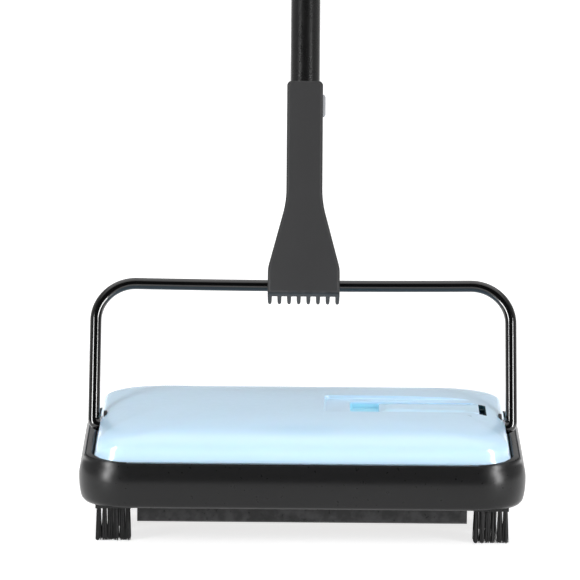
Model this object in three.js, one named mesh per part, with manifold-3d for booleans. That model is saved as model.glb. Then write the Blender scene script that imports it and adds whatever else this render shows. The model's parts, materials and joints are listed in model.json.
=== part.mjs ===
// A manual carpet sweeper: a wheeled body with a friction-driven brush roller and two dust pans,
// a light top cover with a sliding dirt release, and a wire bail that carries a three-part pole.
// A comb for the bristles clips over the foot of the pole.
//
// Millimetres, +Z up, X along the roller, -Y is the front. z = 0 is the floor.

import * as THREE from 'three';
import { mergeVertices } from 'three/addons/utils/BufferGeometryUtils.js';
import Module from 'manifold-3d';

// ---- Driving dimensions ---------------------------------------------------------------------

const gap = 0.3;                  // between pieces that touch or seat

// Base frame
const bodyWidth = 300;
const bodyDepth = 200;
const bodyCorner = 34;
const baseBottom = 26;
const rimHeight = 56.5;
const baseWall = 3;
const webThickness = 2.4;
const wheelSide = 2.2;            // room on each side of a wheel in its bay
const ledgeDrop = 4.5;            // cover ledge below the rim
const ledgeThickness = 2;
const lugReach = 2;               // how far the bail's lugs stand out from their webs

// Top cover
const coverSide = 12.5;           // rim left showing at each end
const coverFront = 8;             // rim left showing along the front and the back
const coverCorner = 22;
const coverWall = 2.2;
const recessHalfDepth = 27;
const recessBefore = 17;          // recess to the left of the pocket
const recessPast = 4.5;           // the recess runs out over the right shoulder
const recessDrop = 2.5;
const pocketInset = 13.5;         // pocket's right end in from the cover's side
const pocketHalfDepth = 16;
const pocketDrop = 4.5;           // pocket floor below the recess floor
const pocketFloor = 1.8;

// Dirt release
const plateLength = 68;
const plateEndGap = 4.5;
const fingerGap = 5.5;            // left open when the slider is home
const releaseTravel = 14;
const plateThickness = 3.6;
const stemSize = 10;
const barThickness = 2.2;
const barClear = 5.7;             // bar above the roller's bristles

// Rolling parts
const wheelRadius = 22;
const tyreThickness = 3;
const wheelWidth = 12;
const drumRadius = 13;
const bristleRadius = 30.5;
const tipClear = 0.5;             // bristle tips above the floor
const coreRadius = 12;
const coreEndGap = 3.5;
const rollerAxleRadius = 3;
const wheelAxleRadius = 2.5;
const bristleTwist = THREE.MathUtils.degToRad(50);
const stripCount = 4;

// Dust pans
const hingeInset = 16;            // hinge rods in from the body's front and back
const hingeAbove = 3;             // hinge rods above the base's lower edge
const panDrop = 12;               // pans below the base's lower edge
const panWall = 1.8;
const panToBristle = 2.5;
const panSide = 4.2;              // between a pan's end and its bulkhead
const panRodRadius = 1.5;

// Corner brushes
const cornerBrush = { width: 24, depth: 15, holder: 1.2, outward: 1.4, pastWheel: 9.4 };

// Bail and pole
const pivotAbove = 5.5;           // pivot above the rim
const lean = THREE.MathUtils.degToRad(30);
const bailRadius = 3.8;
const bailSide = 0.3;             // between the cover's foot and the bail's legs
const barPast = 10;               // bar's swing past the cover's front edge
const bailCorner = 27;
const footReach = 5.8;            // foot's end past its web
const lugWall = 3.9;
const bushWall = 1.7;
const poleRadius = 10.2;
const poleWall = 0.5;
const poleFoot = 6.5;             // pole's lower end above the bail's bar
const sectionLengths = [225, 320, 300];
const neckLength = 28;
const spigotHeight = 42;
const rivetDrop = 12;             // rivet below the spigot's top
const gripLength = 118;
const gripWall = 2.2;
const tabRadius = 9.5;            // hanging tab on the grip's cap
const tabThickness = 6;
const hangHole = 5;

// Comb
const combLength = 156;
const combNeck = 88.8;
const combFlare = 48.5;
const combHalf = 24.6;
const combWall = 1.8;
const combSlack = 0.4;            // between the pole and the comb's inside
const combBelowBar = 10.2;
const combBackPast = 1.7;         // back edge behind the pole
const lipLength = 7.4;
const toothLength = 16.6;
const toothCount = 8;
const toothWidth = 3;
const button = { length: 16, depth: 5, proud: 2, drop: 11.3 };

// ---- Derived places -------------------------------------------------------------------------

const ends = [['left', -1], ['right', 1]];
const sides = [['front', -1], ['rear', 1]];
const baseHeight = rimHeight - baseBottom;
const coverWidth = bodyWidth - 2 * coverSide;
const coverDepth = bodyDepth - 2 * coverFront;
const rollerHeight = bristleRadius + tipClear;
const axleSpread = Math.sqrt((wheelRadius + drumRadius + gap) ** 2 - (rollerHeight - wheelRadius) ** 2);

// Across the body, from the cover's side inwards
const lugEnd = coverWidth / 2 - gap;
const webOuter = lugEnd - lugReach - webThickness;      // outer end of the wheel bay
const webInner = webOuter - wheelWidth - 2 * wheelSide; // inner end of the wheel bay
const panBayHalf = webInner - webThickness;
const bayMiddle = (webInner + webOuter) / 2;
const axleHalf = webOuter - 2 * gap;
const coreHalf = panBayHalf - coreEndGap;

// Up through the body, from the roller's top to the cover's
const barTop = rollerHeight + bristleRadius + barClear + barThickness;
const pocketTop = barTop + gap + pocketFloor;
const recessFloor = pocketTop + pocketDrop;
const coverTop = recessFloor + recessDrop;
const ledgeTop = rimHeight - ledgeDrop;
const pivotHeight = rimHeight + pivotAbove;

// Dirt release
const pocketEnd = coverWidth / 2 - pocketInset;
const plateEnd = pocketEnd - plateEndGap;
const plateStart = plateEnd - plateLength;
const pocketStart = plateStart - releaseTravel - fingerGap;
const recessStart = pocketStart - recessBefore;
const recessEnd = coverWidth / 2 + recessPast;
const stemMiddle = (plateStart + plateEnd) / 2;

// Pans and corner brushes
const panHinge = { depth: bodyDepth / 2 - hingeInset, height: baseBottom + hingeAbove };
const panBottom = baseBottom - panDrop;
const panInner = bristleRadius + panToBristle;
const camSpan = { near: panHinge.depth - 20, far: panHinge.depth - 12 };
const brushMiddle = bayMiddle + cornerBrush.outward;
const brushAway = axleSpread + wheelRadius + cornerBrush.pastWheel + cornerBrush.depth / 2;

// Handle
const bailHalfWidth = coverWidth / 2 + bailSide + bailRadius;
const bailHeight = coverDepth / 2 + barPast;
const footBend = bailRadius + 0.4;
const footEnd = webOuter - footReach;
const lugRadius = bailRadius + 2 * gap + bushWall + lugWall;
const spigotTop = bailHeight + spigotHeight;
const spigotRadius = poleRadius - poleWall - gap;
const poleStart = bailHeight + poleFoot;
const poleTop = poleStart + sectionLengths.reduce((sum, length) => sum + length, 0) + 2 * gap;
const gripStart = poleTop - gripLength;
const gripRadius = poleRadius + gap + gripWall;
const tabMiddle = poleTop + 13;
const rearReach = (tabMiddle + tabRadius) * Math.sin(lean) + tabThickness / 2 * Math.cos(lean);
const originShift = (bodyDepth / 2 - rearReach) / 2;    // puts y = 0 midway between front and grip

// Comb
const combTopHalf = poleRadius + combSlack + combWall;
const combLow = bailHeight - combBelowBar;
const combHigh = combLow + combLength;
const combFront = -(poleRadius + gap + combWall);
const combBack = poleRadius + combBackPast;
const buttonPlace = poleRadius - 2.2;
const buttonMiddle = combHigh - button.drop;

// ---- Finishes -------------------------------------------------------------------------------

const finish = (color, roughness, metalness = 0) =>
  new THREE.MeshStandardMaterial({ color, roughness, metalness });

const blackPlastic = finish(0x1c1c1e, 0.45);
const bluePlastic = finish(0xbfe4f7, 0.3);
const deepBluePlastic = finish(0xa8d8f0, 0.32);
const combPlastic = finish(0x3c3c3e, 0.6);
const blackWire = finish(0x0c0c0d, 0.18, 0.3);
const blackTube = finish(0x141415, 0.3, 0.4);
const bristle = finish(0x161616, 0.85);
const rubber = finish(0x222222, 0.9);
const greyPlastic = finish(0x8b8f94, 0.5);
const rollerWood = finish(0xb9966a, 0.7);
const steel = finish(0xa8abb0, 0.3, 1);
const gripFoam = finish(0x202022, 0.8);

// ---- Solids ---------------------------------------------------------------------------------

const wasm = await Module();
wasm.setup();

// A closed geometry with shared vertices, no empty triangles and its faces pointing out.
function welded(source) {
  const plain = source.clone();
  plain.deleteAttribute('normal');
  plain.deleteAttribute('uv');
  const merged = mergeVertices(plain, 1e-4);
  const index = [];
  const all = merged.index.array;
  for (let i = 0; i < all.length; i += 3) {
    const [a, b, c] = [all[i], all[i + 1], all[i + 2]];
    if (a !== b && b !== c && c !== a) index.push(a, b, c);
  }
  const at = new THREE.Vector3();
  const [p, q, r] = [new THREE.Vector3(), new THREE.Vector3(), new THREE.Vector3()];
  let volume = 0;
  for (let i = 0; i < index.length; i += 3) {
    p.fromBufferAttribute(merged.attributes.position, index[i]);
    q.fromBufferAttribute(merged.attributes.position, index[i + 1]);
    r.fromBufferAttribute(merged.attributes.position, index[i + 2]);
    volume += p.dot(at.crossVectors(q, r));
  }
  merged.setIndex(volume < 0 ? index.reverse() : index);
  return merged;
}

const solid = (source) => {
  const merged = welded(source);
  return new wasm.Manifold(new wasm.Mesh({
    numProp: 3,
    vertProperties: new Float32Array(merged.attributes.position.array),
    triVerts: new Uint32Array(merged.index.array),
  }));
};

const joined = (first, ...others) => others.reduce((sum, other) => sum.add(other), first);
const cut = (first, ...others) => others.reduce((left, other) => left.subtract(other), first);

function surface(manifold) {
  const mesh = manifold.getMesh();
  const result = new THREE.BufferGeometry();
  result.setAttribute('position', new THREE.BufferAttribute(new Float32Array(mesh.vertProperties), 3));
  result.setIndex(Array.from(mesh.triVerts));
  return result;
}

// A box between two corners.
function block(low, high) {
  const size = high.map((value, axis) => value - low[axis]);
  const middle = high.map((value, axis) => (value + low[axis]) / 2);
  return solid(new THREE.BoxGeometry(...size).translate(...middle));
}

// A turned piece on the X axis: profile points are [radius, place along X].
function turned(profile, segments, x = 0, y = 0, z = 0) {
  const points = profile.map(([radius, along]) => new THREE.Vector2(radius, along));
  points.push(points[0].clone());
  const lathe = new THREE.LatheGeometry(points, segments);
  return lathe.rotateZ(-Math.PI / 2).translate(x, y, z);
}

const rodProfile = (radius, from, to, bevel = 0.4) => [
  [0, from], [radius - bevel, from], [radius, from + bevel], [radius, to - bevel],
  [radius - bevel, to], [0, to],
];

const ringProfile = (inner, outer, from, to, bevel = 0.4) => [
  [inner, from], [outer - bevel, from], [outer, from + bevel], [outer, to - bevel],
  [outer - bevel, to], [inner, to],
];

const rodX = (radius, from, to, y, z, segments = 14) =>
  solid(turned([[0, from], [radius, from], [radius, to], [0, to]], segments, 0, y, z));

// Round-cornered outline, anticlockwise, as points of one count whatever its size.
function roundedOutline(halfX, halfY, radius, arcSteps = 2) {
  const shape = new THREE.Path();
  const [x, y] = [halfX - radius, halfY - radius];
  shape.absarc(x, -y, radius, -Math.PI / 2, 0);
  shape.absarc(x, y, radius, 0, Math.PI / 2);
  shape.absarc(-x, y, radius, Math.PI / 2, Math.PI);
  shape.absarc(-x, -y, radius, Math.PI, 1.5 * Math.PI);
  return shape.getPoints(arcSteps);
}

// Closes a stack of outlines, lowest first, into one body. Each ring is { points, z }.
function lofted(rings) {
  const count = rings[0].points.length;
  const positions = [];
  const index = [];
  for (const { points, z } of rings) for (const point of points) positions.push(point.x, point.y, z);
  for (let ring = 0; ring < rings.length - 1; ring += 1) {
    for (let i = 0; i < count; i += 1) {
      const [a, b] = [ring * count + i, ring * count + (i + 1) % count];
      index.push(a, b, b + count, a, b + count, a + count);
    }
  }
  const [bottom, top] = [rings.length * count, rings.length * count + 1];
  const last = (rings.length - 1) * count;
  positions.push(0, 0, rings[0].z, 0, 0, rings.at(-1).z);
  for (let i = 0; i < count; i += 1) {
    const next = (i + 1) % count;
    index.push(bottom, next, i, top, last + i, last + next);
  }
  const result = new THREE.BufferGeometry();
  result.setAttribute('position', new THREE.Float32BufferAttribute(positions, 3));
  result.setIndex(index);
  return result;
}

// A stack from a side profile of [height, inset] pairs around one plan.
function shellBody(width, depth, corner, profile) {
  return solid(lofted(profile.map(([z, inset]) => ({
    z,
    points: roundedOutline(width / 2 - inset, depth / 2 - inset, Math.max(corner - inset, 2)),
  }))));
}

// An outline in the Y-Z plane, pushed out along X.
function plateX(outline, from, to, steps = 3) {
  const shape = outline instanceof THREE.Shape ? outline : new THREE.Shape(
    outline.map(([y, z]) => new THREE.Vector2(y, z)));
  const flat = new THREE.ExtrudeGeometry(shape, { depth: to - from, bevelEnabled: false, curveSegments: steps });
  const place = new THREE.Matrix4().makeBasis(
    new THREE.Vector3(0, 1, 0), new THREE.Vector3(0, 0, 1), new THREE.Vector3(1, 0, 0));
  return solid(flat.applyMatrix4(place).translate(from, 0, 0));
}

// An outline in the X-Z plane, pushed out along Y.
function plateY(outline, from, to) {
  const shape = outline instanceof THREE.Shape ? outline : new THREE.Shape(
    outline.map(([x, z]) => new THREE.Vector2(x, z)));
  const flat = new THREE.ExtrudeGeometry(shape, { depth: to - from, bevelEnabled: false, curveSegments: 4 });
  return solid(flat.rotateX(Math.PI / 2).translate(0, to, 0));
}

const piece = (name, shape, material) => {
  const geometry = welded(shape instanceof THREE.BufferGeometry ? shape : surface(shape));
  geometry.computeVertexNormals();
  const mesh = new THREE.Mesh(geometry, material);
  mesh.name = name;
  return mesh;
};

// ---- Base frame -----------------------------------------------------------------------------

const baseProfile = [[0, 4.5], [0.12, 1.8], [0.5, 0], [0.8, 0.9], [0.94, 2], [1, 3.4]]
  .map(([part, inset]) => [baseBottom + part * baseHeight, inset]);

const post = { fromSide: 16.5, fromFront: 7.5, height: 20, radius: 3.8, bore: 1.9, counterbore: 3.3 };
const screwPlaces = ends.flatMap(([endName, end]) => sides.map(([sideName, side]) => ({
  name: `cover_screw_${sideName}_${endName}`,
  x: end * (coverWidth / 2 - post.fromSide),
  y: side * (coverDepth / 2 - post.fromFront),
})));

// An upright round bar at a screw's place.
const rodZ = (radius, from, to, x, y) =>
  solid(new THREE.CylinderGeometry(radius, radius, to - from, 12).rotateX(Math.PI / 2)
    .translate(x, y, (from + to) / 2));

// Side profile of a web: full height in the body, with a round lobe around each wheel axle.
function webOutline() {
  const half = bodyDepth / 2;
  const lobe = 8;
  const shape = new THREE.Shape();
  shape.moveTo(-half, baseBottom);
  for (const y of [-axleSpread, axleSpread]) {
    shape.lineTo(y - lobe, baseBottom);
    shape.absarc(y, wheelRadius, lobe, Math.PI, 2 * Math.PI);
    shape.lineTo(y + lobe, baseBottom);
  }
  shape.lineTo(half, baseBottom);
  shape.lineTo(half, ledgeTop);
  shape.lineTo(-half, ledgeTop);
  return shape;
}

function baseFrame() {
  const outer = shellBody(bodyWidth, bodyDepth, bodyCorner, baseProfile);
  const innerProfile = [[baseBottom - 1, baseProfile[0][1] + baseWall],
    ...baseProfile.slice(1, -1).map(([z, inset]) => [z, inset + baseWall]),
    [rimHeight + 1, baseProfile.at(-1)[1] + baseWall]];
  const inner = shellBody(bodyWidth, bodyDepth, bodyCorner, innerProfile);
  const room = shellBody(bodyWidth, bodyDepth, bodyCorner, [[0, 6], [rimHeight + 40, 6]]);

  const ledgeInset = baseProfile.at(-1)[1] + baseWall;
  const ledge = cut(
    shellBody(bodyWidth, bodyDepth, bodyCorner,
      [[ledgeTop - ledgeThickness, ledgeInset - 1.5], [ledgeTop, ledgeInset - 1.5]]),
    block([-coverWidth / 2 + 4, -coverDepth / 2 + 4, 0], [coverWidth / 2 - 4, coverDepth / 2 - 4, rimHeight]));

  const webs = [];
  const cuts = [];
  for (const end of [-1, 1]) {
    const spanX = (from, to) => (end > 0 ? [from, to] : [-to, -from]);
    webs.push(plateX(webOutline(), ...spanX(panBayHalf, webInner)).intersect(room));
    webs.push(plateX(webOutline(), ...spanX(webOuter, webOuter + webThickness)).intersect(room));
    // Lug that carries the bail's foot
    const [lugFrom, lugTo] = spanX(webOuter, lugEnd);
    webs.push(block([lugFrom, -lugRadius, rimHeight - 16], [lugTo, lugRadius, pivotHeight]));
    webs.push(rodX(lugRadius, lugFrom, lugTo, 0, pivotHeight, 20));
    cuts.push(rodX(bailRadius + bushWall + 2 * gap, lugFrom - 1, lugTo + 1, 0, pivotHeight, 16));
    cuts.push(rodX(rollerAxleRadius + bushWall + 2 * gap, ...spanX(panBayHalf - 1, webInner + 1), 0, rollerHeight));
    for (const side of [-1, 1]) {
      // Corner floor that carries the corner brush, and the boss of the cover screw
      const [floorFrom, floorTo] = spanX(webInner, bodyWidth / 2 - 6);
      const near = side * (axleSpread + wheelRadius + 3);
      const far = side * (bodyDepth / 2 - 4);
      webs.push(block([floorFrom, Math.min(near, far), baseBottom],
        [floorTo, Math.max(near, far), baseBottom + 2.4]).intersect(room));
      cuts.push(rodX(wheelAxleRadius + gap, ...spanX(panBayHalf - 1, webOuter + webThickness + 1),
        side * axleSpread, wheelRadius));
      cuts.push(rodX(panRodRadius + gap, ...spanX(panBayHalf - 1, webInner + 1),
        side * panHinge.depth, panHinge.height, 10));
    }
  }
  for (const { x, y } of screwPlaces) {
    webs.push(rodZ(post.radius, baseBottom, baseBottom + post.height, x, y));
    cuts.push(rodZ(post.bore, baseBottom, baseBottom + 2 * post.height, x, y));
    cuts.push(rodZ(post.counterbore, baseBottom - 4, baseBottom + 4, x, y));
  }
  return cut(joined(cut(outer, inner), ledge, ...webs), ...cuts);
}

// ---- Top cover ------------------------------------------------------------------------------

const coverBottom = ledgeTop + gap;
const roof = (part) => rimHeight + part * (coverTop - rimHeight);
const coverProfile = [[coverBottom, 0], [roof(0.1), 0.2], [roof(0.3), 0.8], [roof(0.5), 2.2],
  [roof(0.62), 4.8], [roof(0.72), 8.5], [roof(0.8), 14], [roof(0.87), 21.5], [roof(0.93), 32],
  [roof(0.98), 50], [coverTop, 66]];

function topCover() {
  const outer = shellBody(coverWidth, coverDepth, coverCorner, coverProfile);
  const innerProfile = coverProfile.map(([z, inset]) => [
    z === coverBottom ? z - 1 : z - coverWall * Math.min(1, (z - coverBottom) / (coverTop - coverBottom - 4)),
    inset + coverWall,
  ]);
  const inner = shellBody(coverWidth, coverDepth, coverCorner, innerProfile);
  const tubWall = 2;                // around the recess and the pocket
  const recess = block([recessStart, -recessHalfDepth, recessFloor], [recessEnd, recessHalfDepth, coverTop + 5]);
  const pocket = block([pocketStart, -pocketHalfDepth, pocketTop], [pocketEnd, pocketHalfDepth, coverTop]);
  const tub = joined(
    block([recessStart - tubWall, -recessHalfDepth - tubWall, recessFloor - tubWall],
      [recessEnd + tubWall, recessHalfDepth + tubWall, coverTop + 5]),
    block([pocketStart - tubWall, -pocketHalfDepth - tubWall, pocketTop - pocketFloor],
      [pocketEnd + tubWall, pocketHalfDepth + tubWall, coverTop])).intersect(outer);
  const slot = block([stemMiddle - releaseTravel - stemSize / 2 - 1, -stemSize / 2 - 1, pocketTop - 10],
    [stemMiddle + stemSize / 2 + 1, stemSize / 2 + 1, pocketTop + 1]);

  const posts = [];
  const cuts = [recess, pocket, slot];
  for (const { x, y } of screwPlaces) {
    posts.push(rodZ(post.radius - 0.6, baseBottom + post.height + gap, roof(0.6), x, y));
    cuts.push(rodZ(post.bore, baseBottom + post.height - 1, baseBottom + post.height + 13, x, y));
  }
  for (const end of [-1, 1]) {
    // Notch that lets the bail lug stand in the cover's end wall
    const reach = [webOuter - gap, coverWidth].map((x) => end * x).sort((a, b) => a - b);
    cuts.push(block([reach[0], -lugRadius - gap, 0], [reach[1], lugRadius + gap, pivotHeight]));
    cuts.push(rodX(lugRadius + gap, reach[0], reach[1], 0, pivotHeight, 20));
  }
  return cut(joined(cut(outer, inner), tub, ...posts), ...cuts);
}

// ---- Dirt release ---------------------------------------------------------------------------

// The plate is clear of the bar by a clip joint in the stem.
function releaseSlider() {
  const low = pocketTop + gap;
  const half = pocketHalfDepth - gap - 0.2;
  const plate = block([plateStart, -half, low], [plateEnd, half, low + plateThickness]);
  const ridge = plateY([[plateStart + 6, low + 1], [plateStart + 6, low + plateThickness + 0.6],
    [plateStart + 14, low + plateThickness + 2.2], [plateEnd - 6, low + plateThickness + 0.6],
    [plateEnd - 6, low + 1]], -half + 5, half - 5);
  const stem = block([stemMiddle - stemSize / 2, -stemSize / 2, barTop + gap],
    [stemMiddle + stemSize / 2, stemSize / 2, low + 1]);
  return joined(plate, ridge, stem);
}

// Cross bar under the cover; each end is a wedge that pushes a pan's arm down as it slides.
function releaseBar() {
  const half = stemSize / 2 + 6;
  const bar = block([stemMiddle - half, -camSpan.far, barTop - barThickness], [stemMiddle + half, camSpan.far, barTop]);
  const wedge = [[stemMiddle - half, barTop - 1], [stemMiddle - half, barTop - 11],
    [stemMiddle + half, barTop - 26], [stemMiddle + half, barTop - 1]];
  return joined(bar, ...[-1, 1].map((side) => {
    const [from, to] = [side * camSpan.near, side * camSpan.far].sort((a, b) => a - b);
    return plateY(wedge, from, to);
  }));
}

// ---- Dust pans ------------------------------------------------------------------------------

// A trough under the bay: front wall, floor and a ramp that follows the roller.
function dustPan(side) {
  const end = panBayHalf - panSide;
  const { depth, height } = panHinge;
  const face = depth + 0.4;
  const wallTop = height - 4.3;
  const outline = [
    [face, wallTop], [face - 0.6, panBottom + 1], [face - 2, panBottom], [panInner + 3, panBottom],
    [panInner, panBottom + 1.5], [panInner + 3.5, panBottom + 13], [panInner + 5, panBottom + 13],
    [panInner + 3, panBottom + panWall + 2], [panInner + 4, panBottom + panWall],
    [face - 2 - panWall, panBottom + panWall], [face - panWall, wallTop],
  ].map(([y, z]) => [side * y, z]);
  const endPlate = [[face - 0.5, wallTop - 0.4], [face - 1, panBottom + 2], [face - 2.4, panBottom + 0.5],
    [panInner + 4, panBottom + 0.5], [panInner + 4.6, panBottom + 12], [depth - 20, height - 3]]
    .map(([y, z]) => [side * y, z]);
  const armOutline = [[depth - 22, panBottom + 0.5], [depth - 10, panBottom + 0.5],
    [depth - 12, barTop - 14], [depth - 18, barTop - 14]].map(([y, z]) => [side * y, z]);
  const armFrom = stemMiddle - stemSize / 2 - 6;
  const knuckles = [-end + 4, 0, end - 4].map((x) =>
    rodX(3.6, x - 4, x + 4, side * depth, height, 12));
  const webs = [-end + 4, 0, end - 4].map((x) => plateX(
    [[depth - 0.5, height], [depth - 0.9, panBottom + 5], [depth - 3.1, height - 5], [depth - 2.3, height]]
      .map(([y, z]) => [side * y, z]), x - 4, x + 4));
  const trough = joined(
    plateX(outline, -end, end),
    plateX(endPlate, -end, -end + panWall),
    plateX(endPlate, end - panWall, end),
    plateX(armOutline, armFrom, armFrom + 3),
    ...webs, ...knuckles);
  return cut(trough, rodX(panRodRadius + gap, -end - 1, end + 1, side * depth, height, 10));
}

const panRod = (side) => turned(rodProfile(panRodRadius, -webInner - 0.4, webInner + 0.4, 0.3), 14,
  0, side * panHinge.depth, panHinge.height);

// Torsion spring: a close helix around the hinge rod.
function panSpring(side) {
  const [turns, wire, pitch] = [3, 0.7, 2];
  const radius = panRodRadius + gap + wire + 0.3;
  class Helix extends THREE.Curve {
    getPoint(t, target = new THREE.Vector3()) {
      const angle = t * turns * 2 * Math.PI;
      return target.set(panBayHalf * -0.6 + t * turns * pitch,
        side * panHinge.depth + radius * Math.cos(angle), panHinge.height + radius * Math.sin(angle));
    }
  }
  const section = new THREE.Shape();
  section.absarc(0, 0, wire, 0, 2 * Math.PI);
  return new THREE.ExtrudeGeometry(section, {
    steps: turns * 7, curveSegments: 3, bevelEnabled: false, extrudePath: new Helix(),
  });
}

// ---- Roller and wheels ----------------------------------------------------------------------

function bristleStrip(turn) {
  const steps = 10;
  const [root, tip] = [coreRadius + gap, bristleRadius];
  const rings = [];
  for (let step = 0; step <= steps; step += 1) {
    const angle = turn + (step / steps - 0.5) * bristleTwist;
    const corners = [[-2.2, root], [2.2, root], [3.4, tip - 0.4], [0, tip], [-3.4, tip - 0.4]];
    rings.push({
      z: (step / steps * 2 - 1) * (coreHalf - 4),
      points: corners.map(([across, out]) => new THREE.Vector2(across, out)
        .rotateAround(new THREE.Vector2(), angle)),
    });
  }
  return lofted(rings);
}

// The strip's stack stands on Z: turn it along X and move it to the roller.
function stripPlaced(turn) {
  const strip = bristleStrip(turn);
  const middle = new THREE.Vector2(0, (coreRadius + bristleRadius) / 2);
  const caps = strip.attributes.position;
  const count = caps.count;
  [-1, 1].forEach((end, cap) => {
    const at = middle.clone().rotateAround(new THREE.Vector2(), turn + end * bristleTwist / 2);
    caps.setXY(count - 2 + cap, at.x, at.y);
  });
  return strip.rotateY(Math.PI / 2).translate(0, 0, rollerHeight);
}

const hubProfile = (half) => {
  const bore = wheelAxleRadius + gap;
  const rim = wheelRadius - tyreThickness - gap;
  return [[bore, -half + 0.3], [6, -half + 0.3], [7, -2], [rim - 3, -2], [rim - 2, -half + 0.6],
    [rim, -half + 0.6], [rim, half - 0.6], [rim - 2, half - 0.6], [6, half - 0.3], [bore, half - 0.3]];
};

// ---- Corner brushes -------------------------------------------------------------------------

const holderTop = baseBottom - gap;

function brushHolder(end, side) {
  const { width, depth, holder } = cornerBrush;
  const [x, y] = [end * brushMiddle, side * brushAway];
  return block([x - width / 2, y - depth / 2, holderTop - holder], [x + width / 2, y + depth / 2, holderTop]);
}

// Tufts that stand side by side in three rows, on one common root.
function cornerBristles(end, side) {
  const { width, depth, holder } = cornerBrush;
  const root = holderTop - holder - gap;
  const [x0, y0] = [end * brushMiddle - width / 2, side * brushAway - depth / 2];
  const rootPlate = block([x0 + 0.2, y0 + 0.2, root - 2.5], [x0 + width - 0.2, y0 + depth - 0.2, root]);
  const tufts = [];
  const [across, rows] = [5, 3];
  for (let i = 0; i < across; i += 1) {
    for (let row = 0; row < rows; row += 1) {
      const [x, y] = [x0 + (i + 0.5) * width / across, y0 + (row + 0.5) * depth / rows];
      tufts.push(block([x - 2, y - 1.9, 0], [x + 2, y + 1.9, root - 1]));
    }
  }
  return joined(rootPlate, ...tufts);
}

// ---- Bail, pole and comb, drawn upright from the bail's pivot -------------------------------

// The bail's centre line in the X-Z plane, from one foot's inner end to the other's.
function bailLine() {
  const [w, h, c, foot] = [bailHalfWidth, bailHeight, bailCorner, footBend];
  const path = new THREE.Path();
  path.moveTo(-footEnd, 0);
  path.lineTo(-w + foot, 0);
  path.absarc(-w + foot, foot, foot, -Math.PI / 2, -Math.PI, true);
  path.lineTo(-w, h - c);
  path.absarc(-w + c, h - c, c, Math.PI, Math.PI / 2, true);
  path.lineTo(w - c, h);
  path.absarc(w - c, h - c, c, Math.PI / 2, 0, true);
  path.lineTo(w, foot);
  path.absarc(w - foot, foot, foot, 0, -Math.PI / 2, true);
  path.lineTo(footEnd, 0);
  return path.getPoints(4);
}

// A round wire along a line in the X-Z plane, with a ring at each of its points.
function wireAlong(line, radius, sides = 12) {
  const positions = [];
  const index = [];
  line.forEach((point, i) => {
    const along = line[Math.min(i + 1, line.length - 1)].clone().sub(line[Math.max(i - 1, 0)]).normalize();
    for (let side = 0; side < sides; side += 1) {
      const angle = side / sides * 2 * Math.PI;
      const out = radius * Math.cos(angle);
      positions.push(point.x - out * along.y, radius * Math.sin(angle), point.y + out * along.x);
    }
  });
  for (let ring = 0; ring < line.length - 1; ring += 1) {
    for (let side = 0; side < sides; side += 1) {
      const [a, b] = [ring * sides + side, ring * sides + (side + 1) % sides];
      index.push(a, b, b + sides, a, b + sides, a + sides);
    }
  }
  const last = (line.length - 1) * sides;
  for (let side = 1; side < sides - 1; side += 1) {
    index.push(0, side + 1, side, last, last + side, last + side + 1);
  }
  const result = new THREE.BufferGeometry();
  result.setAttribute('position', new THREE.Float32BufferAttribute(positions, 3));
  result.setIndex(index);
  return solid(result);
}

function bail() {
  const wire = wireAlong(bailLine(), bailRadius);
  const spigot = solid(new THREE.CylinderGeometry(spigotRadius, spigotRadius, spigotHeight, 24)
    .rotateX(Math.PI / 2).translate(0, 0, bailHeight + spigotHeight / 2));
  const rivetHole = rodY(1.8, -poleRadius - 1, poleRadius + 1, spigotTop - rivetDrop);
  return cut(joined(wire, spigot), rivetHole);
}

const rodY = (radius, from, to, z) => solid(turned([[0, from], [radius, from], [radius, to], [0, to]], 14)
  .rotateZ(Math.PI / 2).translate(0, 0, z));

// One pole section from z0 up, with a swaged neck that enters the next one.
function poleSection(z0, length, hasNeck) {
  const [outer, inner] = [poleRadius, poleRadius - poleWall];
  const neck = inner - gap;
  const profile = hasNeck
    ? [[inner, z0], [outer, z0], [outer, z0 + length - 1.5], [neck, z0 + length],
      [neck, z0 + length + neckLength], [neck - poleWall, z0 + length + neckLength],
      [neck - poleWall, z0 + length], [inner, z0 + length - 2.5]]
    : [[inner, z0], [outer, z0], [outer, z0 + length], [inner, z0 + length]];
  return upright(profile, 20);
}

function upright(profile, segments = 24) {
  const points = profile.map(([radius, z]) => new THREE.Vector2(radius, z));
  points.push(points[0].clone());
  return solid(new THREE.LatheGeometry(points, segments).rotateX(Math.PI / 2));
}

function gripSleeve() {
  const bore = poleRadius + gap;
  return upright([[bore, gripStart], [gripRadius - 1.4, gripStart], [gripRadius, gripStart + 3],
    [gripRadius - 0.8, gripStart + gripLength * 0.5], [gripRadius, poleTop - 4],
    [gripRadius - 1, poleTop], [bore, poleTop]]);
}

// Cap with a plug inside the pole and a flat tab with the hanging hole.
function gripCap() {
  const z0 = poleTop + gap;
  const cap = upright([[0, poleTop - 14], [spigotRadius, poleTop - 14], [spigotRadius, z0], [gripRadius, z0],
    [gripRadius, z0 + 3], [gripRadius - 3, z0 + 7], [0, z0 + 8]]);
  const tab = new THREE.Shape();
  tab.moveTo(-tabRadius, z0 + 4);
  tab.lineTo(tabRadius, z0 + 4);
  tab.lineTo(tabRadius, tabMiddle);
  tab.absarc(0, tabMiddle, tabRadius, 0, Math.PI);
  const hole = new THREE.Path();
  hole.absarc(0, tabMiddle + 1, hangHole, 0, 2 * Math.PI);
  tab.holes.push(hole);
  return joined(cap, plateY(tab, -tabThickness / 2, tabThickness / 2));
}

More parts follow.
